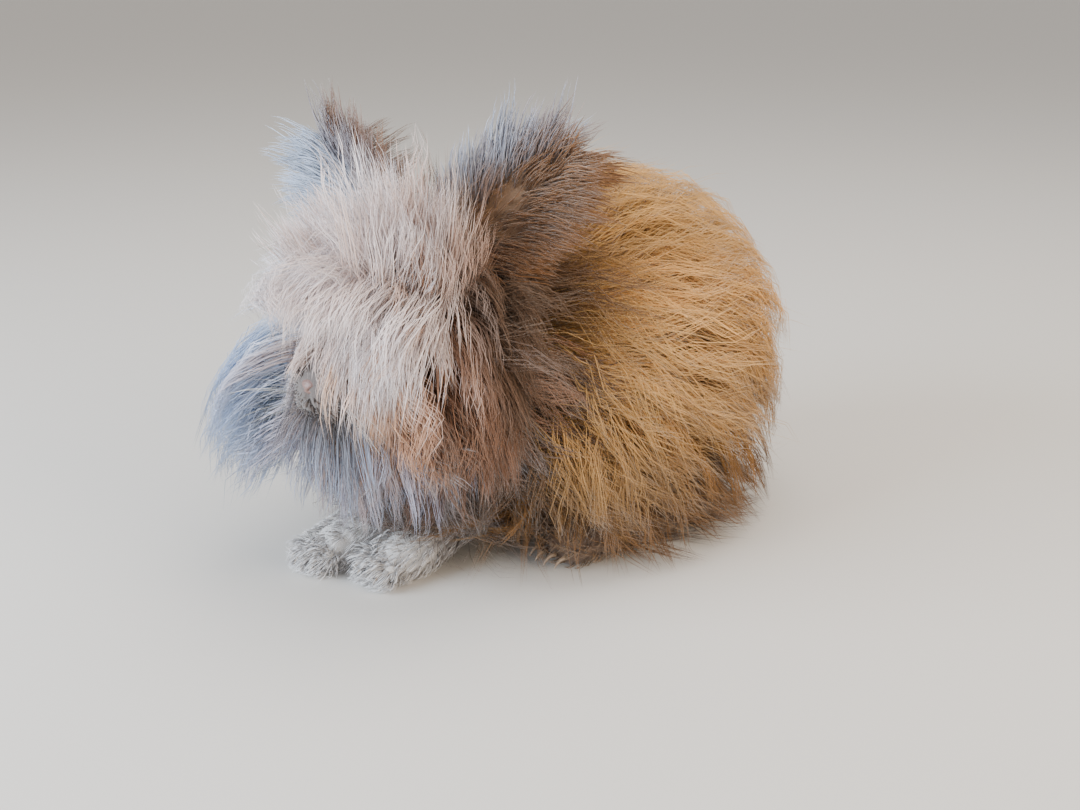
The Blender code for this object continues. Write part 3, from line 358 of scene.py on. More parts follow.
HEAD_MARKS = (
    ("head", (0.000, 0.000, 0.000), (0.055, 0.050, 0.055), "#CB9A74"),
    ("crown", (-0.005, -0.004, 0.030), (0.054, 0.040, 0.034), "#E6D3CB"),
    # The right cheek's blue is painted cool window light over its own pale grey.
    ("right cheek", (0.000, -0.040, -0.010), (0.060, 0.034, 0.044), "#C6D1E4"),
    ("left cheek", *LEFT_CHEEK, "#82593F"),
    # The temple's dark oval is painted shade in the hollow behind the cheek, under the ear.
    ("temple", *TEMPLE_SHADE, "#5B4433"),
    ("jaw", (0.005, 0.000, -0.042), (0.050, 0.040, 0.018), "#A9A8AE"),
    ("muzzle soot", (0.054, 0.000, -0.004), (0.026, 0.024, 0.026), "#6A605C"),
)


def mark_share(places, middle, radii):
    """How much of an oval's colour each place has: all inside 0.6 of its radii, eased to none at 1.15."""
    share = np.clip((1.15 - np.linalg.norm((places - middle) / radii, axis=-1)) / 0.55, 0, 1)
    return (share * share * (3 - 2 * share))[..., None]


def coat_tone(points):
    """Linear colour of the coat at these places: each marking's oval mixed over the last."""
    tone = np.broadcast_to(GOLD, points.shape).copy()
    for places, marks in ((points - PLACE, BODY_MARKS), (in_head(points), HEAD_MARKS)):
        for _, middle, radii, colour in marks:
            share = mark_share(places, middle, radii)
            tone = tone * (1 - share) + linear(colour) * share
    return tone


def add_node(tree, kind, links=(), **settings):
    """One shader node with its settings, and its inputs linked or set as (input, value or output)."""
    node = tree.nodes.new(kind)
    for name, value in settings.items():
        setattr(node, name, value)
    for socket, value in links:
        if isinstance(value, bpy.types.NodeSocket):
            tree.links.new(value, node.inputs[socket])
        else:
            node.inputs[socket].default_value = value
    return node


def new_material(name, **sockets):
    """A material, its node tree and its Principled shader, which has these plain socket values."""
    material = bpy.data.materials.new(name)
    material.use_nodes = True
    shader = material.node_tree.nodes["Principled BSDF"]
    for socket, value in sockets.items():
        shader.inputs[socket.replace("_", " ")].default_value = value
    return material, material.node_tree, shader


# Tanned hide with velvet-short hair: matt, with the coat's colours and a fine nap that catches no gloss.
NAP_MM = 0.8
hide, tree, shader = new_material("tanned_hide", Roughness=0.85, Sheen_Weight=0.25)
tone = add_node(tree, "ShaderNodeAttribute", attribute_name="coat_tone")
place = add_node(tree, "ShaderNodeTexCoord").outputs["Object"]
nap = add_node(tree, "ShaderNodeTexNoise", (("Vector", place), ("Scale", 1000 / NAP_MM), ("Detail", 2.0)))
nap = nap.outputs["Fac"]
depth = add_node(tree, "ShaderNodeMapRange", (("Value", nap), ("To Min", 0.62), ("To Max", 1.08)))
shade = add_node(tree, "ShaderNodeVectorMath", ((0, tone.outputs["Color"]), (1, depth.outputs["Result"])),
                 operation="MULTIPLY")
bump = add_node(tree, "ShaderNodeBump", (("Height", nap), ("Strength", 0.6), ("Distance", 0.0006)))
tree.links.new(shade.outputs["Vector"], shader.inputs["Base Color"])
tree.links.new(bump.outputs["Normal"], shader.inputs["Normal"])


def paint_tone(target, tones):
    """Writes a linear colour for every vertex into the attribute that the coat's materials read."""
    layer = target.data.attributes.new("coat_tone", "FLOAT_COLOR", "POINT")
    colours = np.column_stack((tones, np.ones(len(tones))))
    layer.data.foreach_set("color", colours.astype(np.float32).ravel())


flesh = [TRUNK, HEAD, NECK, TAIL, *FORELEGS.values(), *THIGHS.values(), *HIND_FEET.values(), *FACE_PADS,
         *TOES[1], *TOES[-1]]
skin = make_mesh("skin", *joined([closed_grid(body, 40, 40) for body in flesh]))
remesh = skin.modifiers.new("join", "REMESH")
remesh.mode = "VOXEL"
remesh.voxel_size = SKIN_VOXEL
smooth = skin.modifiers.new("soften", "SMOOTH")
smooth.factor, smooth.iterations = 0.5, 4
skin_data = bpy.data.meshes.new_from_object(skin.evaluated_get(bpy.context.evaluated_depsgraph_get()))
bpy.data.objects.remove(skin)
skin_points = np.empty(len(skin_data.vertices) * 3, np.float32)
skin_data.vertices.foreach_get("co", skin_points)
skin_points = skin_points.reshape(-1, 3).astype(float)
skin_data.calc_loop_triangles()
skin_faces = np.empty(len(skin_data.loop_triangles) * 3, np.int32)
skin_data.loop_triangles.foreach_get("vertices", skin_faces)
skin_faces = skin_faces.reshape(-1, 3)

# The mouth and the parting of the upper lip are drawn into the hide as narrow Gaussian creases.
MOUTH_UP, MOUTH_WIDTH, MOUTH_HALF_LENGTH = -0.0165, 0.0013, 0.011
PARTING_WIDTH, PARTING_FOOT = 0.0011, -0.017
CREASE_DEPTH = 0.0022
FLOOR_GAP = 0.0003
ahead, left, up = in_head(skin_points).T
mouth = np.exp(-((up - MOUTH_UP) / MOUTH_WIDTH) ** 2) * (ahead > 0.040) * (np.abs(left) < MOUTH_HALF_LENGTH)
parting = np.exp(-(left / PARTING_WIDTH) ** 2) * (ahead > 0.048) * (up < 0.0) * (up > PARTING_FOOT)
skin_points -= FACE * (np.maximum(mouth, parting) * CREASE_DEPTH)[:, None]
skin_points[:, 2] = np.maximum(skin_points[:, 2], FLOOR_GAP)

# Ears: two cupped leaves of thin hide and gristle, set on the crown and open forward.
# Each is a closed shell about 3 mm thick, thinner at its rims, and belongs to the skin's own mesh.
EAR_ROOT = (-0.018, 0.018, 0.026)
EAR_TIP = {1: (-0.070, 0.073, 0.079), -1: (-0.058, 0.076, 0.074)}
EAR_HALF_WIDTH = 0.0225
EAR_THICKNESS = 0.0030
EAR_CUP_DEPTH = 0.008
EAR_WIDTHS = ((-0.04, 0.1, 0.45, 0.75, 0.92, 1), (0.40, 0.52, 1.0, 0.82, 0.46, 0.14))
EAR_TURN = {1: 0.0, -1: 0.35}


def ear_frame(side):
    """Root, direction to the tip, length, direction across and direction of the opening."""
    root, tip = on_head(EAR_ROOT, side), on_head(EAR_TIP[side], side)
    run = unit(tip - root)
    across = unit(np.cross(run, CROWN * 0.2 + FACE + FACE_LEFT * EAR_TURN[side])) * side
    opening = unit(np.cross(across, run))
    opening = opening * np.sign(opening @ (FACE + FACE_LEFT * side * 0.4))
    return root, run, np.linalg.norm(tip - root), across, opening


def ear_point(side, v, u):
    """Middle of the ear's leaf: up the ear by v, across by u, sunk back by a cup that closes at the rims."""
    root, run, length, across, opening = ear_frame(side)
    half = EAR_HALF_WIDTH * np.interp(v, *EAR_WIDTHS)
    cup = EAR_CUP_DEPTH * (1 - u**2) * np.interp(v, (0, 0.5, 1), (1.3, 1, 0.2))
    return root + run * (v * length)[..., None] + across * (half * u)[..., None] - opening * cup[..., None]


def ear_leaf(side, rows=30, columns=17):
    """Closed shell: the leaf's grid set forward and back by half the thickness, thinned toward the rims."""
    v, u = np.meshgrid(np.linspace(-0.04, 1, rows), np.linspace(-1, 1, columns), indexing="ij")
    middle = ear_point(side, v, u)
    opening = ear_frame(side)[4]
    half = EAR_THICKNESS / 2 * (1 - 0.7 * u**2)[..., None] * opening
    loop = np.concatenate((middle + half, (middle - half)[:, ::-1]), axis=1)
    points = np.vstack((loop.reshape(-1, 3), loop[0].mean(0, keepdims=True), loop[-1].mean(0, keepdims=True)))
    return points, loft_faces(rows, 2 * columns)


pieces = [(skin_points, skin_faces)] + [ear_leaf(side) for side in (1, -1)]
ear_start = len(skin_points)
right_ear_start = ear_start + len(pieces[1][0])
points, faces = joined(pieces)
skin = make_mesh("skin", points, faces)
tones = coat_tone(points)
tones[ear_start:right_ear_start] = linear("#8A6C52")
tones[right_ear_start:] = linear("#8C8D98")
paint_tone(skin, tones)
skin.data.materials.append(hide)
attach(skin, "root")
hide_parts("torso", "neck", "head", "tail", "ear_left", "ear_right",
            "foreleg_left", "foreleg_right", "hindleg_left", "hindleg_right")

# Eyes: blown glass set in the hide, near black with a brown ring of iris, under lids of bare dark skin.
# The lids of an eye are one band of hide that lies on the ball round an almond-shaped opening.
SIDES = ((1, "left"), (-1, "right"))
EYE_MIDDLES = {side: on_head(EYE_PLACE, side) for side, name in SIDES}
# Blown glass: hard and clear over its colours, so it gives one small sharp highlight.
PUPIL_MM, IRIS_MM, RING_MM = 4.0, 6.2, 10
glass, tree, shader = new_material("glass_eye", Roughness=0.04, IOR=1.5, Coat_Weight=1.0, Coat_Roughness=0.02)
from_pupil = add_node(tree, "ShaderNodeAttribute", attribute_name="from_pupil")
ring = add_node(tree, "ShaderNodeValToRGB", (("Fac", from_pupil.outputs["Fac"]),))
ring.color_ramp.elements[0].color = (*linear("#0A0706"), 1)
ring.color_ramp.elements[1].color = (*linear("#1B110B"), 1)
ring.color_ramp.elements[0].position = PUPIL_MM / RING_MM
for position, colour in ((PUPIL_MM / RING_MM + 0.06, "#4A2C17"), (IRIS_MM / RING_MM, "#38200F")):
    ring.color_ramp.elements.new(position).color = (*linear(colour), 1)
tree.links.new(ring.outputs["Color"], shader.inputs["Base Color"])
LID_TONE = linear("#3A2E28")
LID_WIDE, LID_HIGH = math.radians(56), math.radians(42)
LID_THICKNESS = 0.0014


def eye_way(side):
    """The way an eye looks: mostly to its side, a little forward and up."""
    return unit(FACE * 0.30 + FACE_LEFT * side * 0.93 + CROWN * 0.12)


def eye_ray(side, angle, turn):
    """Direction at this angle off the way the eye looks, turned round it from the level by the turn."""
    way = eye_way(side)
    level = unit(np.cross(CROWN, way))
    up = np.cross(way, level)
    return (way * np.cos(angle)[..., None] + level * (np.sin(angle) * np.cos(turn))[..., None]
            + up * (np.sin(angle) * np.sin(turn))[..., None])


def sphere_grid(rows, columns):
    """Angles off the axis and turns round it for a ball's rings, without its two poles."""
    return np.meshgrid(np.linspace(0, math.pi, rows + 2)[1:-1],
                       np.linspace(0, 2 * math.pi, columns, endpoint=False), indexing="ij")


def eyeball(side, rows=24, columns=32):
    """A ball with a slight bulge of the cornea: radius * (1 + 0.06 * falloff from the line of sight)."""
    angle, turn = sphere_grid(rows, columns)
    bulge = 1 + 0.06 * np.exp(-(angle / 0.55) ** 2)
    middle = EYE_MIDDLES[side]
    points = middle + eye_ray(side, angle, turn) * (EYE_RADIUS * 0.985 * bulge)[..., None]
    front = middle + eye_way(side) * EYE_RADIUS * 1.044
    back = middle - eye_way(side) * EYE_RADIUS * 0.985
    return np.vstack((points.reshape(-1, 3), front, back)), loft_faces(rows, columns)


def lid_band(side, rows=14, columns=40):
    """A band round the eye from the opening's rim back under the brow, on a ball a little larger than it.

    The rim is an oval of angles, the outer face runs at the lid's thickness and the inner one on the glass.
    """
    turn = np.linspace(0, 2 * math.pi, columns, endpoint=False)
    rim = 1 / np.sqrt((np.cos(turn) / LID_WIDE) ** 2 + (np.sin(turn) / LID_HIGH) ** 2)
    share = np.concatenate((np.linspace(1, 0, rows // 2), np.linspace(0, 1, rows // 2)))
    radius = EYE_RADIUS + np.concatenate((np.full(rows // 2, LID_THICKNESS), np.full(rows // 2, 0.0002)))
    radius[rows // 2 - 1] -= LID_THICKNESS * 0.35
    angle = rim + (math.radians(105) - rim) * share[:, None] ** 1.4
    points = EYE_MIDDLES[side] + eye_ray(side, angle, turn) * radius[:, None, None]
    k = np.arange(columns)
    after = (k + 1) % columns
    row = (np.arange(rows) * columns)[:, None]
    below = (np.roll(np.arange(rows), -1) * columns)[:, None]
    faces = triangles((row + k, row + after, below + after), (row + k, below + after, below + k))
    return points.reshape(-1, 3), faces


for side, name in SIDES:
    points, faces = eyeball(side)
    ball = make_mesh(f"eye_{name}_glass", points, faces)
    off_way = np.arccos(np.clip(unit(points - EYE_MIDDLES[side]) @ eye_way(side), -1, 1))
    spread = off_way * EYE_RADIUS * 1000 / RING_MM
    layer = ball.data.attributes.new("from_pupil", "FLOAT", "POINT")
    layer.data.foreach_set("value", spread.astype(np.float32))
    ball.data.materials.append(glass)
    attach(ball, "root")
    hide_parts(f"eye_{name}")
lids = make_mesh("eyelids", *joined([lid_band(1), lid_band(-1)]))
paint_tone(lids, np.broadcast_to(LID_TONE, (len(lids.data.vertices), 3)))
lids.data.materials.append(hide)
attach(lids, "root")

# Nose: a soft pad of bare skin between the halves of the upper lip, with a slit nostril in each side.
# It is a piece of its own that sits in the hide.
NOSE_AT, NOSE_RADII = (0.0552, 0.0, 0.0012), (0.0056, 0.0060, 0.0046)
# Bare skin: pebbled by its pores and a little damp, so it has a faint wet gleam.
PORES_PER_MM = 1.9
nose_skin, tree, shader = new_material("nose_skin", Roughness=0.42, Coat_Weight=0.15, Coat_Roughness=0.3)
place = add_node(tree, "ShaderNodeTexCoord").outputs["Object"]
pores = add_node(tree, "ShaderNodeTexVoronoi", (("Vector", place), ("Scale", 1000 * PORES_PER_MM)))
pores = pores.outputs["Distance"]
tint = add_node(tree, "ShaderNodeMix", (("Factor", pores), ("A", (*linear("#6A4F49"), 1)),
                                        ("B", (*linear("#8C6B62"), 1))), data_type="RGBA")
bump = add_node(tree, "ShaderNodeBump", (("Height", pores), ("Strength", 0.4), ("Distance", 0.0003)))
tree.links.new(tint.outputs["Result"], shader.inputs["Base Color"])
tree.links.new(bump.outputs["Normal"], shader.inputs["Normal"])


def nose_pad(rows=36, columns=48):
    """An egg whose front is dented by two slanted nostrils, each a narrow Gaussian valley."""
    angle, turn = sphere_grid(rows, columns)
    egg = np.stack((np.cos(angle), np.sin(angle) * np.cos(turn), np.sin(angle) * np.sin(turn)), -1)
    slit = 0
    for side in (1, -1):
        across = (egg[..., 1] - side * 0.52) * 0.8 + side * (egg[..., 2] - 0.05) * 0.6
        along = (egg[..., 2] - 0.05) * 0.8 - side * (egg[..., 1] - side * 0.52) * 0.6
        slit = slit + np.exp(-(along / 0.16) ** 2 - (across / 0.34) ** 2) * (egg[..., 0] > 0)
    points = egg * (1 - 0.30 * slit)[..., None] * NOSE_RADII
    ends = np.array([(1, 0, 0), (-1, 0, 0)]) * NOSE_RADII
    points = np.vstack((points.reshape(-1, 3), ends)) + NOSE_AT
    return HEAD_AT + points @ HEAD_AXES, loft_faces(rows, columns)


nose = make_mesh("nose", *nose_pad())
nose.data.materials.append(nose_skin)
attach(nose, "root")

# The long coat of the trunk: fine wavy wool in soft tapered locks, which part along the spine, flow back
# and down the flanks and end on the solids' own outline. Each strand is a slim closed spindle.
COAT_MIDDLE = np.array((0.0, 0.030, 0.102)) + PLACE
COAT_REACH = np.array((0.118, 0.148, 0.116))
# The share of its own colour that a strand keeps at these heights, and what is left of it at the hem: painted
# shade under the body, darker toward the floor.
HEM_HEIGHTS, HEM_SHARES = (0.008, 0.040, 0.075, 0.125), (0.0, 0.14, 0.55, 1.0)
HEM_SHADE_TONE = np.array((0.30, 0.27, 0.29))
# The lowest that a strand lies, how far it may pass the solids' box, and the size of its patch on the unwrap.
FLOOR_LEVEL = 0.0012
BOX_MARGIN = 0.008
TUFT_PATCH = 0.003
rng = np.random.default_rng(11)


def scatter(body, count, first=0.0, last=1.0):
    """Places spread evenly by area over a form between two stations: s, turn, point and outward normal."""
    rows, columns = 79, 72
    grid = form_point(body, *np.meshgrid(np.linspace(first, last, rows + 1),
                                         np.linspace(0, 2 * math.pi, columns + 1), indexing="ij"))
    lengthwise = np.linalg.norm(np.diff(grid, axis=0)[:, :-1], axis=-1)
    around = np.linalg.norm(np.diff(grid, axis=1)[:-1], axis=-1)
    area = (lengthwise * around).ravel()
    cell = np.searchsorted(np.cumsum(area) / area.sum(), (np.arange(count) + rng.random(count)) / count)
    row, column = np.divmod(np.minimum(cell, area.size - 1), columns)
    s = first + (row + rng.random(count)) / rows * (last - first)
    turn = (column + rng.random(count)) / columns * 2 * math.pi
    return s, turn, form_point(body, s, turn), form_out(body, s, turn)


def depth_in(body, points):
    """How deep points are inside a form, and the way out: the distance short of its section's oval."""
    samples = np.linspace(0.01, 0.99, 40)
    middle, side, up, sizes = form_frame(body, samples)
    nearest = np.linalg.norm(points[:, None] - middle, axis=-1).argmin(1)
    away = points - middle[nearest]
    x, z = (away * side[nearest]).sum(-1), (away * up[nearest]).sum(-1)
    half, rise, fall = sizes[nearest].T
    tall = np.where(z > 0, rise, fall)
    beyond = np.abs((away * np.cross(side, up)[nearest]).sum(-1))
    ratio = np.sqrt((x / np.maximum(half, 1e-4)) ** 2 + (z / np.maximum(tall, 1e-4)) ** 2)
    radius = np.sqrt(x**2 + z**2)
    room = radius / np.maximum(ratio, 1e-6) - radius
    return np.where(beyond < 0.006, room, -1.0), unit(side[nearest] * x[:, None] + up[nearest] * z[:, None])


def laid(out, lie):
    """The lie of the hair with its part into the body taken out."""
    return unit(lie - out * (lie * out).sum(-1, keepdims=True))


def waver(points, scale, seed):
    """A smooth number from about -1 to 1 for each place, from four crossed sine waves of one length."""
    ways = np.random.default_rng(seed).normal(size=(4, 3))
    ways = unit(ways) * (2 * math.pi / scale)
    return np.sin(points @ ways.T + np.arange(4)).sum(-1) / 2.2


def swept(root, rise, tip, points):
    """Guide paths: the quadratic curve from each root, drawn toward its rise, to its tip."""
    t = np.linspace(0, 1, points)[:, None]
    return (1 - t) ** 2 * root[:, None] + 2 * t * (1 - t) * rise[:, None] + t**2 * tip[:, None]


def kept_out(paths, bodies, margin=0.002):
    """Guide paths pushed out of other forms and clear of them by the margin, from their third point on."""
    paths = paths.copy()
    for body in bodies:
        inner = paths[:, 2:].reshape(-1, 3)
        deep, way = depth_in(body, inner)
        inner = inner + way * np.maximum(deep + margin, 0)[:, None] * (deep > -margin)[:, None]
        paths[:, 2:] = inner.reshape(paths[:, 2:].shape)
    return paths


def comb(paths, out, count, spread, clump, wave, wave_length, short=0.75):
    """Strands of each lock, as arrays of points.

    A strand starts beside its guide's root, keeps a share of that distance which falls toward the tip by
    the clump, ends at its own share of the guide's length, and waves across the lie with its lock. It
    stays over the floor and within the margin round the solids' box.
    """
    guides, steps = paths.shape[:2]
    share = np.linspace(0, 1, steps)
    reach = rng.uniform(short, 1.04, (guides, count))
    place = np.clip(share * reach[..., None], 0, 1) * (steps - 1)
    i = np.minimum(place.astype(int), steps - 2)
    f = (place - i)[..., None]
    lock = np.arange(guides)[:, None, None]
    line = paths[lock, i] * (1 - f) + paths[lock, i + 1] * f
    run = unit(paths[:, -1] - paths[:, 0])
    across = unit(np.cross(run, out))
    proud = np.cross(across, run)
    angle = rng.uniform(0, 2 * math.pi, (guides, count))
    radius = spread * np.sqrt(rng.random((guides, count)))
    offset = (across[:, None] * (radius * np.cos(angle))[..., None]
              + laid(out, run)[:, None] * (radius * np.sin(angle))[..., None])
    keep = 1 - clump * share**1.2
    strands = line + offset[:, :, None] * keep[:, None]
    length = np.linalg.norm(np.diff(paths, axis=1), axis=-1).sum(1)
    phase = rng.uniform(0, 2 * math.pi, guides)[:, None] + rng.normal(0, 0.5, (guides, count))
    cycle = 2 * math.pi * (length / wave_length)[:, None, None] * share + phase[..., None]
    swing = wave * rng.uniform(0.35, 1.55, (guides, 1, 1))
    swing = swing * rng.uniform(0.7, 1.2, (guides, count, 1)) * share**0.8
    strands = strands + across[:, None, None] * (np.sin(cycle) * swing)[..., None]
    strands = strands + proud[:, None, None] * (np.cos(cycle) * swing * 0.6)[..., None]
    lift = 0.004 * rng.random(reach.shape)[..., None] * share
    strands[..., 2] = np.maximum(strands[..., 2], FLOOR_LEVEL + lift)
    strands = np.clip(strands, np.array(cad_low) - BOX_MARGIN, np.array(cad_high) + BOX_MARGIN)
    return strands.reshape(guides * count, steps, 3)


def spindles(name, strands, out, width, tones, uv, flat=0.55):
    """Joined mesh of closed three-sided strands, pointed at both ends, widest two fifths of the way along.

    Strands are (count, steps, 3), tones (count, steps, 3) and uv the place of each root on the unwrap. A
    strand's thickness is its width times flat.
    """
    count, steps = strands.shape[:2]
    run = unit(np.gradient(strands, axis=1))
    across = unit(np.cross(run, out[:, None]))
    proud = np.cross(across, run)
    share = np.linspace(0, 1, steps)[1:-1]
    taper = np.interp(share, (0, 0.15, 0.4, 0.8, 1), (0.6, 0.9, 1.0, 0.55, 0.2))
    half = (width / 2)[:, None] * taper
    corner = np.array((-math.pi / 6, math.pi / 2, 7 * math.pi / 6))
    ring = (strands[:, 1:-1, None]
            + across[:, 1:-1, None] * (half[..., None] * np.cos(corner))[..., None]
            + proud[:, 1:-1, None] * (half[..., None] * flat * np.sin(corner))[..., None])
    rings = steps - 2
    each = rings * 3 + 2
    points = np.concatenate((ring.reshape(count, rings * 3, 3), strands[:, :1], strands[:, -1:]), 1)
    faces = outward(points[0], loft_faces(rings, 3))
    all_faces = (faces[None] + (np.arange(count) * each)[:, None, None]).reshape(-1, 3)
    made = make_mesh(name, points.reshape(-1, 3), all_faces)
    tone = np.concatenate((np.repeat(tones[:, 1:-1], 3, axis=1), tones[:, :1], tones[:, -1:]), 1)
    paint_tone(made, tone.reshape(-1, 3))
    patch = np.zeros((each, 2))
    patch[:-2, 0] = np.tile((0, 0.5, 1), rings)
    patch[:-2, 1] = np.repeat(share, 3)
    patch[-2], patch[-1] = (0.5, 0), (0.5, 1)
    uv_points = (uv[:, None] + patch * TUFT_PATCH).reshape(-1, 2)
    layer = made.data.uv_layers.new(name="OFBake")
    layer.data.foreach_set("uv", uv_points[all_faces.ravel()].astype(np.float32).ravel())
    made.data.materials.append(wool)
    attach(made, "root")
    return made


def strand_tones(root_tone, steps, tip_tone, mix, count, root_shade):
    """Colour along each strand, from the root's own to one lightened and mixed with the tip's tone.

    It is darkened toward the skin by root_shade, painted shade deep in the coat. Each lock has its own
    shade, and its own share of the tip's tone, between the two values of mix.
    """
    locks = len(root_tone)
    share = np.linspace(0, 1, steps)[:, None]
    shade = np.repeat(rng.uniform(0.76, 1.18, locks), count)[:, None]
    shade = shade * rng.uniform(0.88, 1.12, (locks * count, 1))
    tone = np.repeat(root_tone, count, axis=0) * shade
    taken = np.repeat(rng.uniform(*mix, locks), count)[:, None]
    tip_tone = np.repeat(np.broadcast_to(tip_tone, (locks, 3)), count, axis=0)
    tip = tone * 1.35 * (1 - taken) + tip_tone * shade * taken
    # Painted shade: the strands darken toward the skin, deep in the coat.
    deep = root_shade + (1 - root_shade) * np.clip(share * 2.0, 0, 1)
    return (tone[:, None] * (1 - share) + tip[:, None] * share) * deep


def unwrap(s, turn, count):
    """Place of each strand's root on the form's own unwrap: turn across, station up, clear of the border."""
    uv = np.column_stack((turn / (2 * math.pi) % 1, s)) * 0.95 + 0.01
    return np.repeat(uv, count, axis=0) + rng.uniform(0, 0.012, (len(s) * count, 2))


# Long angora wool: very fine, dry and silky hairs that scatter light, so it is matt with a soft sheen.
# Its drifts of shade are drawn wider than a real hair's, so that they show.
DRIFT_MM = 6.4
wool, tree, shader = new_material("angora_wool", Roughness=0.62, Sheen_Weight=0.35, Sheen_Roughness=0.4,
                                  Specular_IOR_Level=0.3)
tone = add_node(tree, "ShaderNodeAttribute", attribute_name="coat_tone")
place = add_node(tree, "ShaderNodeTexCoord").outputs["Object"]
drift = add_node(tree, "ShaderNodeTexNoise", (("Vector", place), ("Scale", 1000 / DRIFT_MM), ("Detail", 3.0)))
drift = drift.outputs["Fac"]
depth = add_node(tree, "ShaderNodeMapRange", (("Value", drift), ("To Min", 0.82), ("To Max", 1.14)))
shade = add_node(tree, "ShaderNodeVectorMath", ((0, tone.outputs["Color"]), (1, depth.outputs["Result"])),
                 operation="MULTIPLY")
tree.links.new(shade.outputs["Vector"], shader.inputs["Base Color"])


def to_coat_edge(points):
    """Points moved out to the oval round the trunk's coat, and straight sideways below its middle."""
    q = points - COAT_MIDDLE
    above = q / np.linalg.norm(q / COAT_REACH, axis=-1, keepdims=True)
    across = 1 / np.maximum(np.linalg.norm(q[:, :2] / COAT_REACH[:2], axis=-1), 0.2)
    below = np.column_stack((q[:, :2] * across[:, None], q[:, 2]))
    return COAT_MIDDLE + np.where(q[:, 2:] > 0, above, below)


def grow_coat(name, places, rise, tip, strands, tip_tone, width=(0.0004, 0.0009), clear_of=(),
              lowest=0.0, steps=7, spread=0.0065, clump=0.7, wave=0.0026, wave_length=0.050, parts=1,
              short=0.75, root_tone=None, mix=(0.1, 0.5), hem=1.0, root_shade=0.58):
    """Locks from each place over its rise to its tip, combed into strands and joined into the named pieces.

    No tip is under its lowest height. The hem's share darkens the strands toward the floor with painted
    shade, for the body's shade that falls on the wool there.
    """
    s, turn, root, out = places
    tip = np.column_stack((tip[:, :2], np.maximum(tip[:, 2], lowest)))
    guides = kept_out(swept(root - out * 0.002, rise, tip, steps), clear_of)
    made = comb(guides, out, strands, spread, clump, wave, wave_length, short)
    base = coat_tone(root) if root_tone is None else np.broadcast_to(root_tone, root.shape)
    tones = strand_tones(base, steps, tip_tone, mix, strands, root_shade)
    # Painted shade: the strands darken toward the floor, under the body.
    kept = 1 - hem * (1 - np.interp(made[..., 2], HEM_HEIGHTS, HEM_SHARES)[..., None])
    tones = tones * (kept + HEM_SHADE_TONE * (1 - kept))
    uv = unwrap(s, turn, strands)
    widths = rng.uniform(*width, len(made))
    outs = np.repeat(out, strands, axis=0)
    order = np.argsort(made[:, 0, 1], kind="stable")
    for part, chosen in enumerate(np.array_split(order, parts)):
        label = name if parts == 1 else f"{name}_{part + 1}"
        spindles(label, made[chosen], outs[chosen], widths[chosen], tones[chosen], uv[chosen])


def only(places, chosen):
    """The places for which chosen holds."""
    return [value[chosen] for value in places]


def bare_of(root, bodies, sunk=0.002):
    """True where a root isn't sunk deeper than this in any of the other forms."""
    return np.max([depth_in(body, root)[0] for body in bodies], axis=0) < sunk


def swirled(root, out, lie, size, seed):
    """The lie turned to and fro across itself in smooth drifts of the given size."""
    side = np.cross(out, lie)
    drift = waver(root, size, seed) + 0.6 * waver(root, size * 0.45, seed + 1)
    return laid(out, lie + side * (0.50 * drift)[:, None])


WOOL_LENGTH, RUMP_EXTRA = 0.105, 0.016
HEM_IN_FRONT, HEM_BEHIND = 0.030, 0.006
# The smoky tip tone behind the head is partly the wool's own colour and partly painted shade.
FLAX, SMOKE_AND_SHADE = linear("#E3BC80"), linear("#7F6145")
places = scatter(TRUNK, 1640)
places = only(places, bare_of(places[2], (NECK, HEAD, *THIGHS.values())))
s, turn, root, out = places
high = np.clip(out[:, 2:], -1, 1)
lie = BACK * np.where(s[:, None] > 0.25, 0.95, 0.55) + DOWN * (0.75 - 0.35 * high)
lie = swirled(root, out, laid(out, lie), 0.10, 3)
flow = 0.070 + 0.020 * np.clip(1 - 1.5 * high, 0, 1)
tip = to_coat_edge(root + out * 0.030 + lie * flow)
reach = np.linalg.norm(tip - root, axis=-1, keepdims=True)
longest = WOOL_LENGTH + RUMP_EXTRA * np.clip((s - 0.45) / 0.3, 0, 1)[:, None] * np.maximum(high, 0)
tip = root + (tip - root) * np.minimum(1, longest / reach) * rng.uniform(0.88, 1.09, (len(root), 1))
hem = np.interp(s, (0.30, 0.50), (HEM_IN_FRONT, HEM_BEHIND)) + rng.uniform(0, 0.010, len(s))
rear = np.clip((s - 0.46) / 0.15, 0, 1)[:, None]
proud = 0.054 + (0.008 + 0.022 * rear) * np.maximum(high, 0) + 0.012 * np.minimum(high, 0)
smoke_and_shade = np.maximum(mark_share(root - PLACE, *SHOULDER), mark_share(root - PLACE, *NAPE))
grow_coat("trunk_coat", places, root + out * proud + lie * 0.016, tip, 10,
          FLAX * (1 - smoke_and_shade) + SMOKE_AND_SHADE * smoke_and_shade, (0.0004, 0.0011), [HEAD, *THIGHS.values(), *FORELEGS.values()],
          hem, parts=4, spread=0.009, clump=0.75, wave=0.0082, wave_length=0.060)

# The wool of the neck and shoulders: a darker brown than the trunk's, partly its own colour and partly
# painted shade behind the head, and a little shorter.
# It grows round the neck, and is laid back over the trunk's coat and down the chest.
places = scatter(NECK, 300, 0.15, 0.85)
places = only(places, bare_of(places[2], (TRUNK, HEAD), 0.004))
root, out = places[2:]
lie = swirled(root, out, laid(out, BACK * 0.6 + DOWN * 0.6), 0.08, 7)
tip = root + out * 0.056 + lie * 0.048 * rng.uniform(0.7, 1.2, (len(root), 1))
grow_coat("neck_coat", places, root + out * 0.050 + lie * 0.012, tip, 12, linear("#735639"),
          (0.0004, 0.0010), [HEAD, TRUNK], 0.020, spread=0.009, clump=0.62, wave=0.0050)

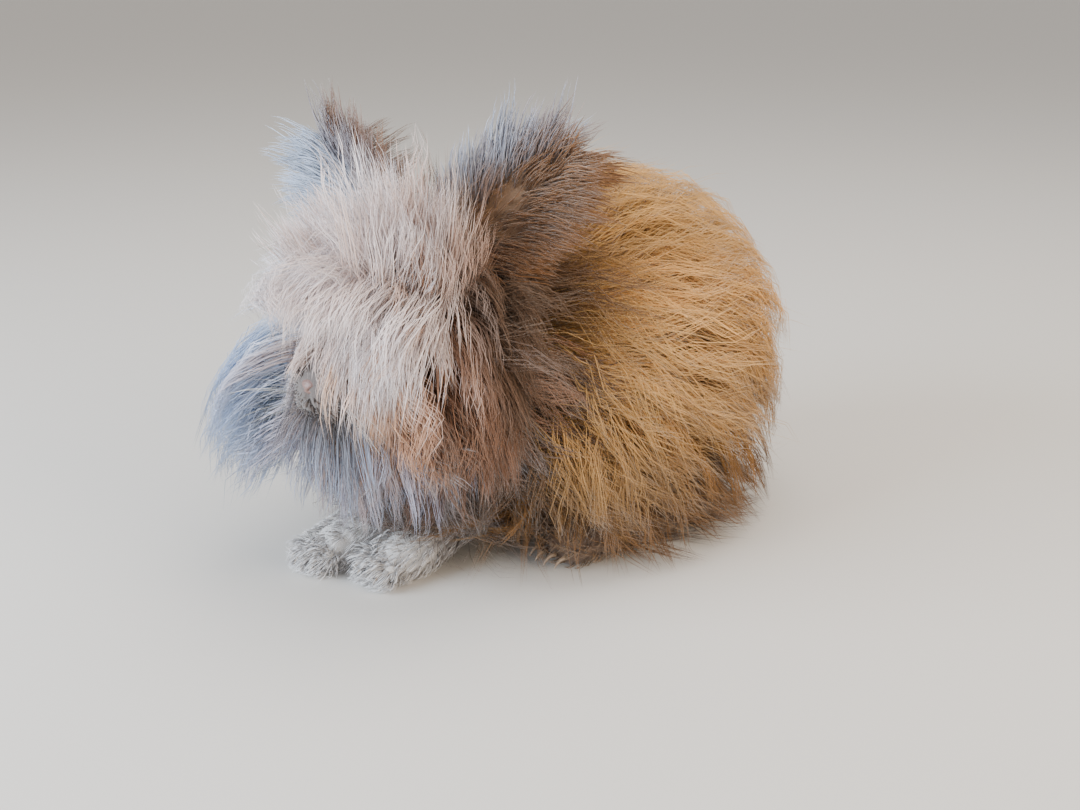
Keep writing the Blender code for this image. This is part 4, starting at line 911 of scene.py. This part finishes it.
# The head's wool: a thick mop of frosty and peach locks, which end on a round oval about the head.
# It springs from the crown and the sides, falls to the front and down, and is thinned on the far brow.
HEAD_CORE = 0.018
RUFF_MIDDLE = np.array((0.0, -0.016, -0.028))
RUFF_REACH = np.array((0.084, 0.116, 0.094))
# The pearl tone is pale wool with a blue tint of painted cool window light.
FROST, PEARL_WITH_WINDOW_BLUE, PEACH = linear("#EFEAF0"), linear("#BED4F8"), linear("#D9A383")


def to_ruff_edge(points, share):
    """Points moved by a share of the way to the oval round the head, in the head's own frame."""
    q = in_head(points) - RUFF_MIDDLE
    edge = RUFF_MIDDLE + q / np.linalg.norm(q / RUFF_REACH, axis=-1, keepdims=True)
    return points + (HEAD_AT + edge @ HEAD_AXES - points) * share[:, None]


def near_eyes(points, radius):
    """True near either eye."""
    gaps = [np.linalg.norm(points - middle, axis=-1) for middle in EYE_MIDDLES.values()]
    return np.min(gaps, axis=0) < radius


def mop_tips(root):
    """Tips of the head's locks: frosty white, peach in drifts, browner on the left cheek, and dark with
    painted shade at the temple.
    """
    local = in_head(root)
    peach = np.clip(waver(root, 0.045, 21) * 0.8 + local[:, 1] / 0.035, 0, 0.9)[:, None]
    tips = FROST * (1 - peach) + PEACH * peach
    for mark, colour in ((LEFT_CHEEK, "#9D745A"), (TEMPLE_SHADE, "#6A4F3A")):
        share = mark_share(local, *mark)
        tips = tips * (1 - share) + linear(colour) * share
    return tips


places = scatter(HEAD, 1180, 0.05, 0.66)
places = only(places, bare_of(places[2], (NECK,)) & ~near_eyes(places[2], 0.012))
s, turn, root, out = places
up, left = out @ CROWN, out @ FACE_LEFT
face = np.clip((s - 0.42) / 0.30, 0, 1)
core = HEAD_CORE * np.clip((0.52 - s) / 0.26, 0, 1) ** 0.8
lie = laid(out, FACE * (0.75 * np.maximum(up, 0) + 0.05)[:, None]
           + FACE_LEFT * (0.30 * np.sign(left))[:, None] + DOWN * 0.70)
fringe = np.maximum(up, 0) ** 4
droop = 0.022 * np.maximum(up, 0) * np.clip((s - 0.30) / 0.12, 0, 1)
start = root + out * core[:, None]
share = 1 - 0.70 * face - 10 * droop - 0.45 * fringe - 0.14 * np.maximum(left, 0)
share = share - 0.34 * np.clip(-2 * left, 0, 1) * np.clip(2 * up, 0, 1)
tip = to_ruff_edge(start + out * 0.008 + lie * (0.048 * (1 - 0.40 * face))[:, None], share)
tip = tip + DOWN * droop[:, None]
bared = 1 - 0.60 * np.clip((s - 0.32) / 0.10, 0, 1) * np.clip(0.55 - left, 0, 1) * np.clip(0.6 + up, 0, 1)
tip = root + (tip - root) * (bared * rng.uniform(0.80, 1.10, len(root)))[:, None]
rise = start + out * ((0.026 - 0.016 * face) * (1 - 0.3 * fringe) * bared)[:, None] + lie * 0.010
grow_coat("head_coat", places, rise, tip, 10, mop_tips(root), (0.0004, 0.0010),
          [HEAD, *FORELEGS.values()], 0.022, parts=2, spread=0.007, clump=0.55, mix=(0.25, 0.90),
          root_shade=0.66)

# The side whiskers: long silky wool that grows from both cheeks.
# It stands out from them and hangs in a wide ruff, longer and pearly pale on the right cheek, where its blue
# is painted cool window light.
WHISKER_LENGTHS = (0.066, 0.096)


def ruff_tips(root, side):
    """Tips of the ruff's locks: pearly, with painted blue window light, on the right cheek, and the mop's
    colours on the left.
    """
    return np.where(side < 0, PEARL_WITH_WINDOW_BLUE, mop_tips(root))


places = scatter(HEAD, 745, 0.08, 0.62)
root, out = places[2:]
places = only(places, (np.abs(out @ FACE_LEFT) > 0.45) & (out @ CROWN < 0.55) & ~near_eyes(root, 0.014))
s, turn, root, out = places
side = np.sign(out @ FACE_LEFT)[:, None]
length = rng.uniform(*WHISKER_LENGTHS, (len(root), 1)) * np.where(side < 0, 1.36, 0.86)
length = length * np.interp(s, (0.1, 0.35, 0.62), (0.95, 1.0, 0.66))[:, None]
wide, onward = np.where(side < 0, 0.80, 0.55), np.where(side < 0, 0.42, 0.10)
way = unit(FACE_LEFT * side * wide + FACE * onward + DOWN * 0.22)
hang = unit(FACE_LEFT * side * wide * 0.45 + FACE * onward * 0.5 + DOWN * 0.85)
tip = root + way * length * 0.52 + hang * length * 0.52
grow_coat("side_whiskers", places, root + out * 0.012 + way * length * 0.60, tip, 11,
          ruff_tips(root, side), clear_of=[HEAD, *FORELEGS.values()], lowest=0.026, spread=0.008, clump=0.50,
          wave=0.0048, mix=(0.60, 1.0), root_shade=0.85, hem=0.7)

# The brow's fringe: long loose locks that start between the ears and fall over the brow and the eyes.
# Those of the left side hang the lowest, and those of the right side stay short of the eye.
places = scatter(HEAD, 850, 0.16, 0.52)
places = only(places, (places[3] @ CROWN > 0.66) & ~near_eyes(places[2], 0.012))
root, out = places[2:]
left = in_head(root)[:, 1]
near_side, far_side = np.clip(left / 0.014, 0, 1), np.clip(-left / 0.014, 0, 1)
fall = rng.uniform(0.10, 0.35 + 0.65 * near_side)
ahead = 0.050 + 0.014 * (1 - fall) + 0.006 * rng.random(len(root)) - 0.020 * far_side
aside = left * (2.2 - 0.8 * far_side) + rng.normal(0, 0.006, len(root))
tip = HEAD_AT + np.column_stack((ahead, aside, 0.040 - 0.062 * fall)) @ HEAD_AXES
rise = root + out * 0.046 + FACE * 0.024 + FACE_LEFT * (left[:, None] * 0.6)
grow_coat("brow_fringe", places, rise, tip, 11, mop_tips(root), (0.0004, 0.0008), [HEAD],
          spread=0.010, clump=0.35, mix=(0.35, 0.90), root_shade=0.72)

# The crest: loose wool that stands up between the ears, over the fringe's roots.
# Half of its locks stay up as wisps, and the others fall over to the front and down.
CREST_LENGTHS = (0.046, 0.080)
places = scatter(HEAD, 950, 0.03, 0.50)
places = only(places, places[3] @ CROWN > 0.10)
s, turn, root, out = places
up = np.clip(out @ CROWN, 0, 1)[:, None]
stray = unit(out * 0.45 + CROWN * 0.75 + FACE * 0.15 + rng.normal(0, 0.22, root.shape))
far_side = np.clip(-3 * (out @ FACE_LEFT), 0, 1)[:, None]
length = rng.uniform(*CREST_LENGTHS, (len(root), 1)) * (0.80 + 0.20 * up) * (1 - 0.38 * far_side)
falls = rng.random((len(root), 1)) < 0.5
ahead = np.clip((s - 0.20) / 0.2, 0, 1)[:, None]
tip = root + stray * length * 0.95 + np.where(falls, DOWN * (0.75 - 0.30 * up) + FACE * 0.45 * ahead,
                                              CROWN * 0.15 + FACE * 0.06) * length
grow_coat("crest", places, root + stray * length * (0.50 + 0.25 * up), tip, 10, mop_tips(root),
          (0.0004, 0.0008), steps=6, spread=0.009, clump=0.40, wave=0.0030, mix=(0.45, 0.95), root_shade=0.75)

# The cheeks' shorter wool: soft locks of about three centimetres.
# They lie down from below the eye over the roots of the whiskers.
CHEEK_LENGTHS = (0.024, 0.038)
places = scatter(HEAD, 420, 0.33, 0.64)
cheek = (np.abs(places[3] @ FACE_LEFT) > 0.40) & (places[3] @ CROWN < 0.45)
places = only(places, cheek & ~near_eyes(places[2], 0.0125))
root, out = places[2:]
side = np.sign(out @ FACE_LEFT)[:, None]
lie = laid(out, DOWN * 0.85 - FACE * 0.12 + FACE_LEFT * side * 0.25)
length = rng.uniform(*CHEEK_LENGTHS, (len(root), 1))
proud = root + out * 0.016
grow_coat("cheek_wool", places, proud + lie * 0.006, proud + lie * length, 9, ruff_tips(root, side),
          clear_of=[HEAD], steps=6, spread=0.006, clump=0.45, wave=0.0020, mix=(0.35, 0.85), root_shade=0.75)

# Tufts before the ears: loose upright wool on both sides of the forehead.
# It hides the ears' roots, and is shorter on the right side.
TUFT_LENGTHS = (0.042, 0.078)
places = scatter(HEAD, 620, 0.28, 0.52)
tufted = (np.abs(places[3] @ FACE_LEFT) > 0.22) & (places[3] @ CROWN > 0.12)
places = only(places, tufted & ~near_eyes(places[2], 0.012))
root, out = places[2:]
side = np.sign(out @ FACE_LEFT)[:, None]
way = unit(CROWN + FACE_LEFT * side * 0.36 + FACE * 0.20 + rng.normal(0, 0.15, root.shape))
length = rng.uniform(*TUFT_LENGTHS, (len(root), 1)) * np.where(side < 0, 0.6, 1.0)
peach = np.clip(0.35 + 0.5 * waver(root, 0.030, 23), 0, 0.8)[:, None]
grow_coat("ear_tufts", places, root + out * 0.018 + way * length * 0.5,
          root + out * 0.012 + way * length, 9, FROST * (1 - peach) + PEACH * peach, steps=6, spread=0.008,
          clump=0.40, wave=0.0020, mix=(0.45, 0.95), root_tone=linear("#D6BDB0"), root_shade=0.75)

# The beard and bib: long pale wool under the jaw and on the throat.
# It hangs straight down to a little above the paws.
BEARD_LENGTHS = (0.040, 0.066)
places = scatter(HEAD, 420, 0.30, 0.90)
places = only(places, (places[3] @ CROWN < -0.30) & bare_of(places[2], (NECK,)))
s, turn, root, out = places
left = out @ FACE_LEFT
length = rng.uniform(*BEARD_LENGTHS, (len(root), 1)) * np.interp(s, (0.6, 0.9), (1.0, 0.55))[:, None]
hang = unit(DOWN * 0.9 + FACE * 0.10 + FACE_LEFT * (0.35 * left)[:, None])
grow_coat("beard", places, root + out * 0.022 + hang * length * 0.3,
          root + out * 0.012 + hang * length, 11, PEARL_WITH_WINDOW_BLUE, clear_of=[HEAD, *FORELEGS.values()],
          lowest=np.where(left < 0, 0.018, 0.030), spread=0.006, clump=0.60, mix=(0.35, 0.85), hem=0.6)

# The face's short velvet: dense hairs, of a few millimetres on the muzzle and longer toward the cheeks.
# They lie back from the nose over the muzzle, the lips and the chin, and leave the nose and the lids bare.
VELVET_LENGTH, VELVET_GROWTH = 0.0045, 0.010
grown = [scatter(HEAD, 2500, 0.40, 0.985)] + [scatter(pad, 300, 0.05, 0.97) for pad in FACE_PADS]
places = [np.concatenate(values) for values in zip(*grown)]
off_nose = np.linalg.norm((in_head(places[2]) - NOSE_AT) / NOSE_RADII, axis=-1) > 1.2
places = only(places, off_nose & ~near_eyes(places[2], EYE_RADIUS + 0.0022))
root, out = places[2:]
longer = np.clip((0.0455 - (root - HEAD_AT) @ FACE) / 0.028, 0, 1)[:, None]
length = VELVET_LENGTH + VELVET_GROWTH * longer * rng.uniform(0.7, 1.3, (len(root), 1))
lie = laid(out, -FACE * 0.9 + DOWN * 0.25)
grow_coat("face_velvet", places, root + out * length * 0.35 + lie * length * 0.4,
          root + out * length * 0.30 + lie * length, 1, linear("#9A8F8A"), (0.0010, 0.0017), steps=4,
          spread=0.001, wave=0.0002)


# The ears' fur: short on both faces of the leaf, with a fringe of long silky tufts on its rims and tip.
# The left ear is brown, with a front rim paled by painted window light, and the right one is mostly pale,
# partly its own colour and partly painted cool window light.
def ear_places(side, count, first, rim):
    """Places on both faces of an ear's leaf, from v = first to its tip and from |u| = rim to its rims.

    The turn stands for the place across on the unwrap, with one half of it for each face.
    """
    v, u = rng.uniform(first, 0.99, count), rng.uniform(rim, 1, count) * rng.choice((-1, 1), count)
    face_way = rng.choice((-1, 1), count)
    out = ear_frame(side)[4] * face_way[:, None]
    return v, (u * 0.2 + 0.3 + 0.3 * (face_way > 0)) * 2 * math.pi, ear_point(side, v, u), out, u


# The pale tones are partly the ears' own pale colour and partly the blue of painted cool window light.
EAR_BROWN, EAR_PALE = linear("#6E4724"), linear("#A0AABD")
EAR_TIP_BROWN, EAR_TIP_PALE = linear("#8F663B"), linear("#C6D1E3")
# How pale an ear's wool is on its middle line, and how much paler it gets to the rim by the window, which is
# painted window light.
EAR_PALENESS_AND_PAINTED_LIGHT = {1: (-0.50, 1.4), -1: (0.85, 0.8)}
# A coat of the ear has its kind, its number of locks, where it starts up the leaf, how near to the middle
# line it starts, and the length of its wool.
EAR_COATS = (("fringe", 195, 0.30, 0.45, 0.036), ("fur", 240, 0.0, 0.0, 0.026))
for side, name in SIDES:
    _, run, _, across, opening = ear_frame(side)
    for kind, count, first, rim, size in EAR_COATS:
        v, turn, root, out, u = ear_places(side, count, first, rim)
        behind = (out @ opening < 0)[:, None]
        way = unit(run * 0.75 + across * (u * (1.0 - 0.5 * v))[:, None] + out * 0.35 + BACK * 0.25 * behind)
        reach = size * rng.uniform(0.7, 1.15, (count, 1)) * (0.8 + 0.25 * v[:, None])
        tip = root + unit(way + DOWN * 0.25 + BACK * 0.20 * behind) * reach
        # Painted window light: the wool pales toward the rim that faces the window.
        painted_light_toward_window = u * np.sign(across @ (FACE - FACE_LEFT))
        middle_share, slope = EAR_PALENESS_AND_PAINTED_LIGHT[side]
        pale = np.clip(middle_share + slope * painted_light_toward_window, 0, 1)[:, None]
        grow_coat(f"ear_{name}_{kind}", [v, turn, root, out],
                  root + way * reach * 0.5 + out * 0.005, tip, 8,
                  EAR_TIP_BROWN * (1 - pale) + EAR_TIP_PALE * pale, steps=6, spread=0.007, clump=0.45,
                  wave=0.0016, root_tone=EAR_BROWN * (1 - pale) + EAR_PALE * pale)

# The wool of the haunches and the tail's fluff: the same golden wool as the trunk's.
# It hangs from the thighs to the floor, and stands round the tail as a short brush.
for side, name in SIDES:
    places = scatter(THIGHS[side], 230)
    places = only(places, bare_of(places[2], (TRUNK,)) & (places[3][:, 0] * side > -0.5))
    root, out = places[2:]
    lie = swirled(root, out, laid(out, DOWN * 0.9 + BACK * 0.25), 0.06, 9)
    tip = to_coat_edge(root + out * 0.010 + lie * 0.055)
    grow_coat(f"haunch_coat_{name}", places, root + out * 0.026 + lie * 0.014, tip, 9,
              linear("#BF8F56"), (0.0004, 0.0011), [HIND_FEET[side]], 0.003, steps=6, spread=0.008, clump=0.6,
              wave=0.0036)
places = scatter(TAIL, 85, 0.2, 1.0)
root, out = places[2:]
tail_run = unit(TAIL_TIP - TAIL_ROOT)
grow_coat("tail_coat", places, root + out * 0.012 + tail_run * 0.006,
          root + out * 0.014 + tail_run * 0.018 + DOWN * 0.006, 11, FLAX, steps=6, spread=0.004, wave=0.002)

# The halo: single fly-away hairs of the same wool, finer than the locks' strands.
# They stand loose beyond the trunk's locks all round.
places = scatter(TRUNK, 430)
places = only(places, bare_of(places[2], (NECK, HEAD, *THIGHS.values())))
root, out = places[2:]
tip = to_coat_edge(root + out * 0.040 + laid(out, BACK * 0.7 + DOWN * 0.5) * 0.060)
tip = root + (tip - root) * rng.uniform(0.95, 1.15, (len(root), 1)) + rng.normal(0, 0.006, root.shape)
grow_coat("halo", places, root + out * 0.060, tip, 4, FLAX, (0.0003, 0.0005), [HEAD], 0.020,
          spread=0.014, clump=-0.3, wave=0.0040, short=0.9)

# The feet's dense fur: about a centimetre long, and combed forward over the toes.
# It is white on the forepaws and a darker fawn on the hind feet.
FORE_TOE_LOCKS = 120
for side, name in SIDES:
    for bodies, leg, count, size, colour in (
        ([FORELEGS[side], *TOES[side]], "foreleg", 860, 0.012, "#F3F1F0"),
        ([HIND_FEET[side]], "hindleg", 700, 0.010, "#A68A6A"),
    ):
        grown = [scatter(body, count if body is bodies[0] else FORE_TOE_LOCKS, 0.10, 0.98) for body in bodies]
        places = [np.concatenate(values) for values in zip(*grown)]
        places = only(places, (places[2][:, 2] > 0.003) & bare_of(places[2], (TRUNK,)))
        root, out = places[2:]
        lie = laid(out, -BACK * 0.9 + DOWN * 0.35)
        length = rng.uniform(0.6, 1.2, (len(root), 1)) * size
        grow_coat(f"{leg}_fur_{name}", places, root + out * 0.005 + lie * length * 0.4,
                  root + out * 0.004 + lie * length, 2, linear(colour), (0.0006, 0.0012), lowest=FLOOR_LEVEL,
                  steps=4, spread=0.0015, clump=0.3, wave=0.0004, mix=(0.4, 0.95), hem=0.30, root_shade=0.75)

# Feelers: stiff single hairs, dark at the root and pale at the tip.
# They are set in the pads of the upper lip, stand out to the sides and bend down a little.
FEELER_LENGTHS = (0.030, 0.048)
for (side, name), pad in zip(SIDES, FACE_PADS):
    places = scatter(pad, 40, 0.25, 0.85)
    places = only(places, (places[3] @ FACE_LEFT * side > 0.45) & (places[3] @ CROWN > -0.7))
    root, out = places[2:]
    length = rng.uniform(*FEELER_LENGTHS, (len(root), 1))
    way = unit(FACE_LEFT * side * 0.85 + FACE * 0.25 + out * 0.4)
    grow_coat(f"feelers_{name}", places, root + way * length * 0.6,
              root + way * length + DOWN * length * 0.25, 1, linear("#E8E4E0"), (0.0003, 0.0005),
              spread=0.0004, wave=0.0004, root_tone=linear("#4A4038"), mix=(0.8, 1.0))

# Claws: short curved sheaths of horn, one in the end of each toe, half hidden in the fur.
# The horn is dense and worn smooth, so it has a soft gleam over cloudy growth marks.
MARKS_PER_MM = 0.9
CLAW_LINE = np.array(((0, 0, 0), (0, -0.0035, 0.0002), (0, -0.0065, -0.0014), (0, -0.0085, -0.0038)))
CLAW_RADII = (0.0012, 0.0011, 0.0008, 0.0003)
HIND_TOE_SPACING, HIND_TOE_BACK = 0.0070, 0.0020
claw_horn, tree, shader = new_material("claw_horn", Roughness=0.38, Coat_Weight=0.2, Coat_Roughness=0.3)
place = add_node(tree, "ShaderNodeTexCoord").outputs["Object"]
growth = add_node(tree, "ShaderNodeTexNoise", (("Vector", place), ("Scale", 1000 * MARKS_PER_MM),
                                               ("Detail", 2.0)))
tint = add_node(tree, "ShaderNodeMix", (("Factor", growth.outputs["Fac"]), ("A", (*linear("#7A6656"), 1)),
                                        ("B", (*linear("#A8947F"), 1))), data_type="RGBA")
tree.links.new(tint.outputs["Result"], shader.inputs["Base Color"])


def claw(x, y, z):
    """One claw as a closed tapered tube that starts in the toe at this place and curves down to its point."""
    return closed_grid(limb(CLAW_LINE + (x, y, z), CLAW_RADII, (0, 0, 1)), 8, 8)


for side, name in SIDES:
    paw_x, paw_y, paw_z = FOREPAW[side]
    fore = [claw(paw_x + TOE_SPACING * i, paw_y - 0.0225 + TOE_BACK * abs(i), paw_z - 0.0010)
            for i in TOE_PLACES]
    hind = [claw(HIND_FOOT_X * side + HIND_TOE_SPACING * i, HIND_FOOT_Y[1] - 0.0105 + HIND_TOE_BACK * abs(i),
                 0.0085) for i in TOE_PLACES]
    for claws, leg in ((fore, "foreleg"), (hind, "hindleg")):
        made = make_mesh(f"claws_{leg}_{name}", *joined(claws))
        made.data.materials.append(claw_horn)
        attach(made, "root")

# Floor, light and camera: one wide painted board, matt and pale, under three large soft boxes.
# The first stands for a cool window in front, and the camera looks from the photo's angle.
FLOOR_HALF = 30
floor_points = np.array(((-1, -1, 0), (1, -1, 0), (1, 1, 0), (-1, 1, 0)), float) * FLOOR_HALF
floor = make_mesh("floor", floor_points, np.array(((0, 1, 2), (0, 2, 3))))
board = new_material("painted_board", Roughness=0.8, Base_Color=(*linear("#D9D4CE"), 1))[0]
floor.data.materials.append(board)
floor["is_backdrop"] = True


def soft_box(name, place, size, power, colour):
    """A square area light that faces the rabbit's middle."""
    lamp = bpy.data.lights.new(name, "AREA")
    lamp.size, lamp.energy, lamp.color = size, power, colour
    made = bpy.data.objects.new(name, lamp)
    made.location = place
    made.rotation_mode = "QUATERNION"
    made.rotation_quaternion = (Vector((0, 0, 0.1)) - Vector(place)).to_track_quat("-Z", "Y")
    bpy.context.scene.collection.objects.link(made)


soft_box("window_box", (-0.3, -1.45, 0.6), 1.0, 52, (0.75, 0.87, 1.0))
soft_box("room_box", (1.5, 0.3, 0.8), 1.0, 22, (1.0, 0.86, 0.68))
soft_box("top_box", (0.2, 0.3, 1.6), 1.4, 18, (1.0, 0.97, 0.93))
world = bpy.data.worlds.new("studio")
bpy.context.scene.world = world
world.use_nodes = True
world.node_tree.nodes["Background"].inputs["Color"].default_value = (*linear("#E6E3DF"), 1)
world.node_tree.nodes["Background"].inputs["Strength"].default_value = 0.85

IMAGE_WIDTH, IMAGE_HEIGHT = 1080, 810
CAMERA_AZIMUTH, CAMERA_ELEVATION = math.radians(52), math.radians(17)
CAMERA_DISTANCE = 0.80
FOCAL_PIXELS, SENSOR_WIDTH = 1400, 36
AIM = np.array((0.004, -0.020, 0.105)) + PLACE
AIM_PIXEL = (493, 358)
camera_data = bpy.data.cameras.new("camera")
camera_data.lens = FOCAL_PIXELS / IMAGE_WIDTH * SENSOR_WIDTH
camera_data.sensor_width = SENSOR_WIDTH
camera_data.shift_x = -(AIM_PIXEL[0] - IMAGE_WIDTH / 2) / IMAGE_WIDTH
camera_data.shift_y = (AIM_PIXEL[1] - IMAGE_HEIGHT / 2) / IMAGE_WIDTH
camera = bpy.data.objects.new("camera", camera_data)
away = np.array((
    math.sin(CAMERA_AZIMUTH) * math.cos(CAMERA_ELEVATION),
    -math.cos(CAMERA_AZIMUTH) * math.cos(CAMERA_ELEVATION),
    math.sin(CAMERA_ELEVATION),
))
camera.location = AIM + away * CAMERA_DISTANCE
camera.rotation_mode = "QUATERNION"
camera.rotation_quaternion = Vector(away).to_track_quat("Z", "Y")
bpy.context.scene.collection.objects.link(camera)
bpy.context.scene.camera = camera

low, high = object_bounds()
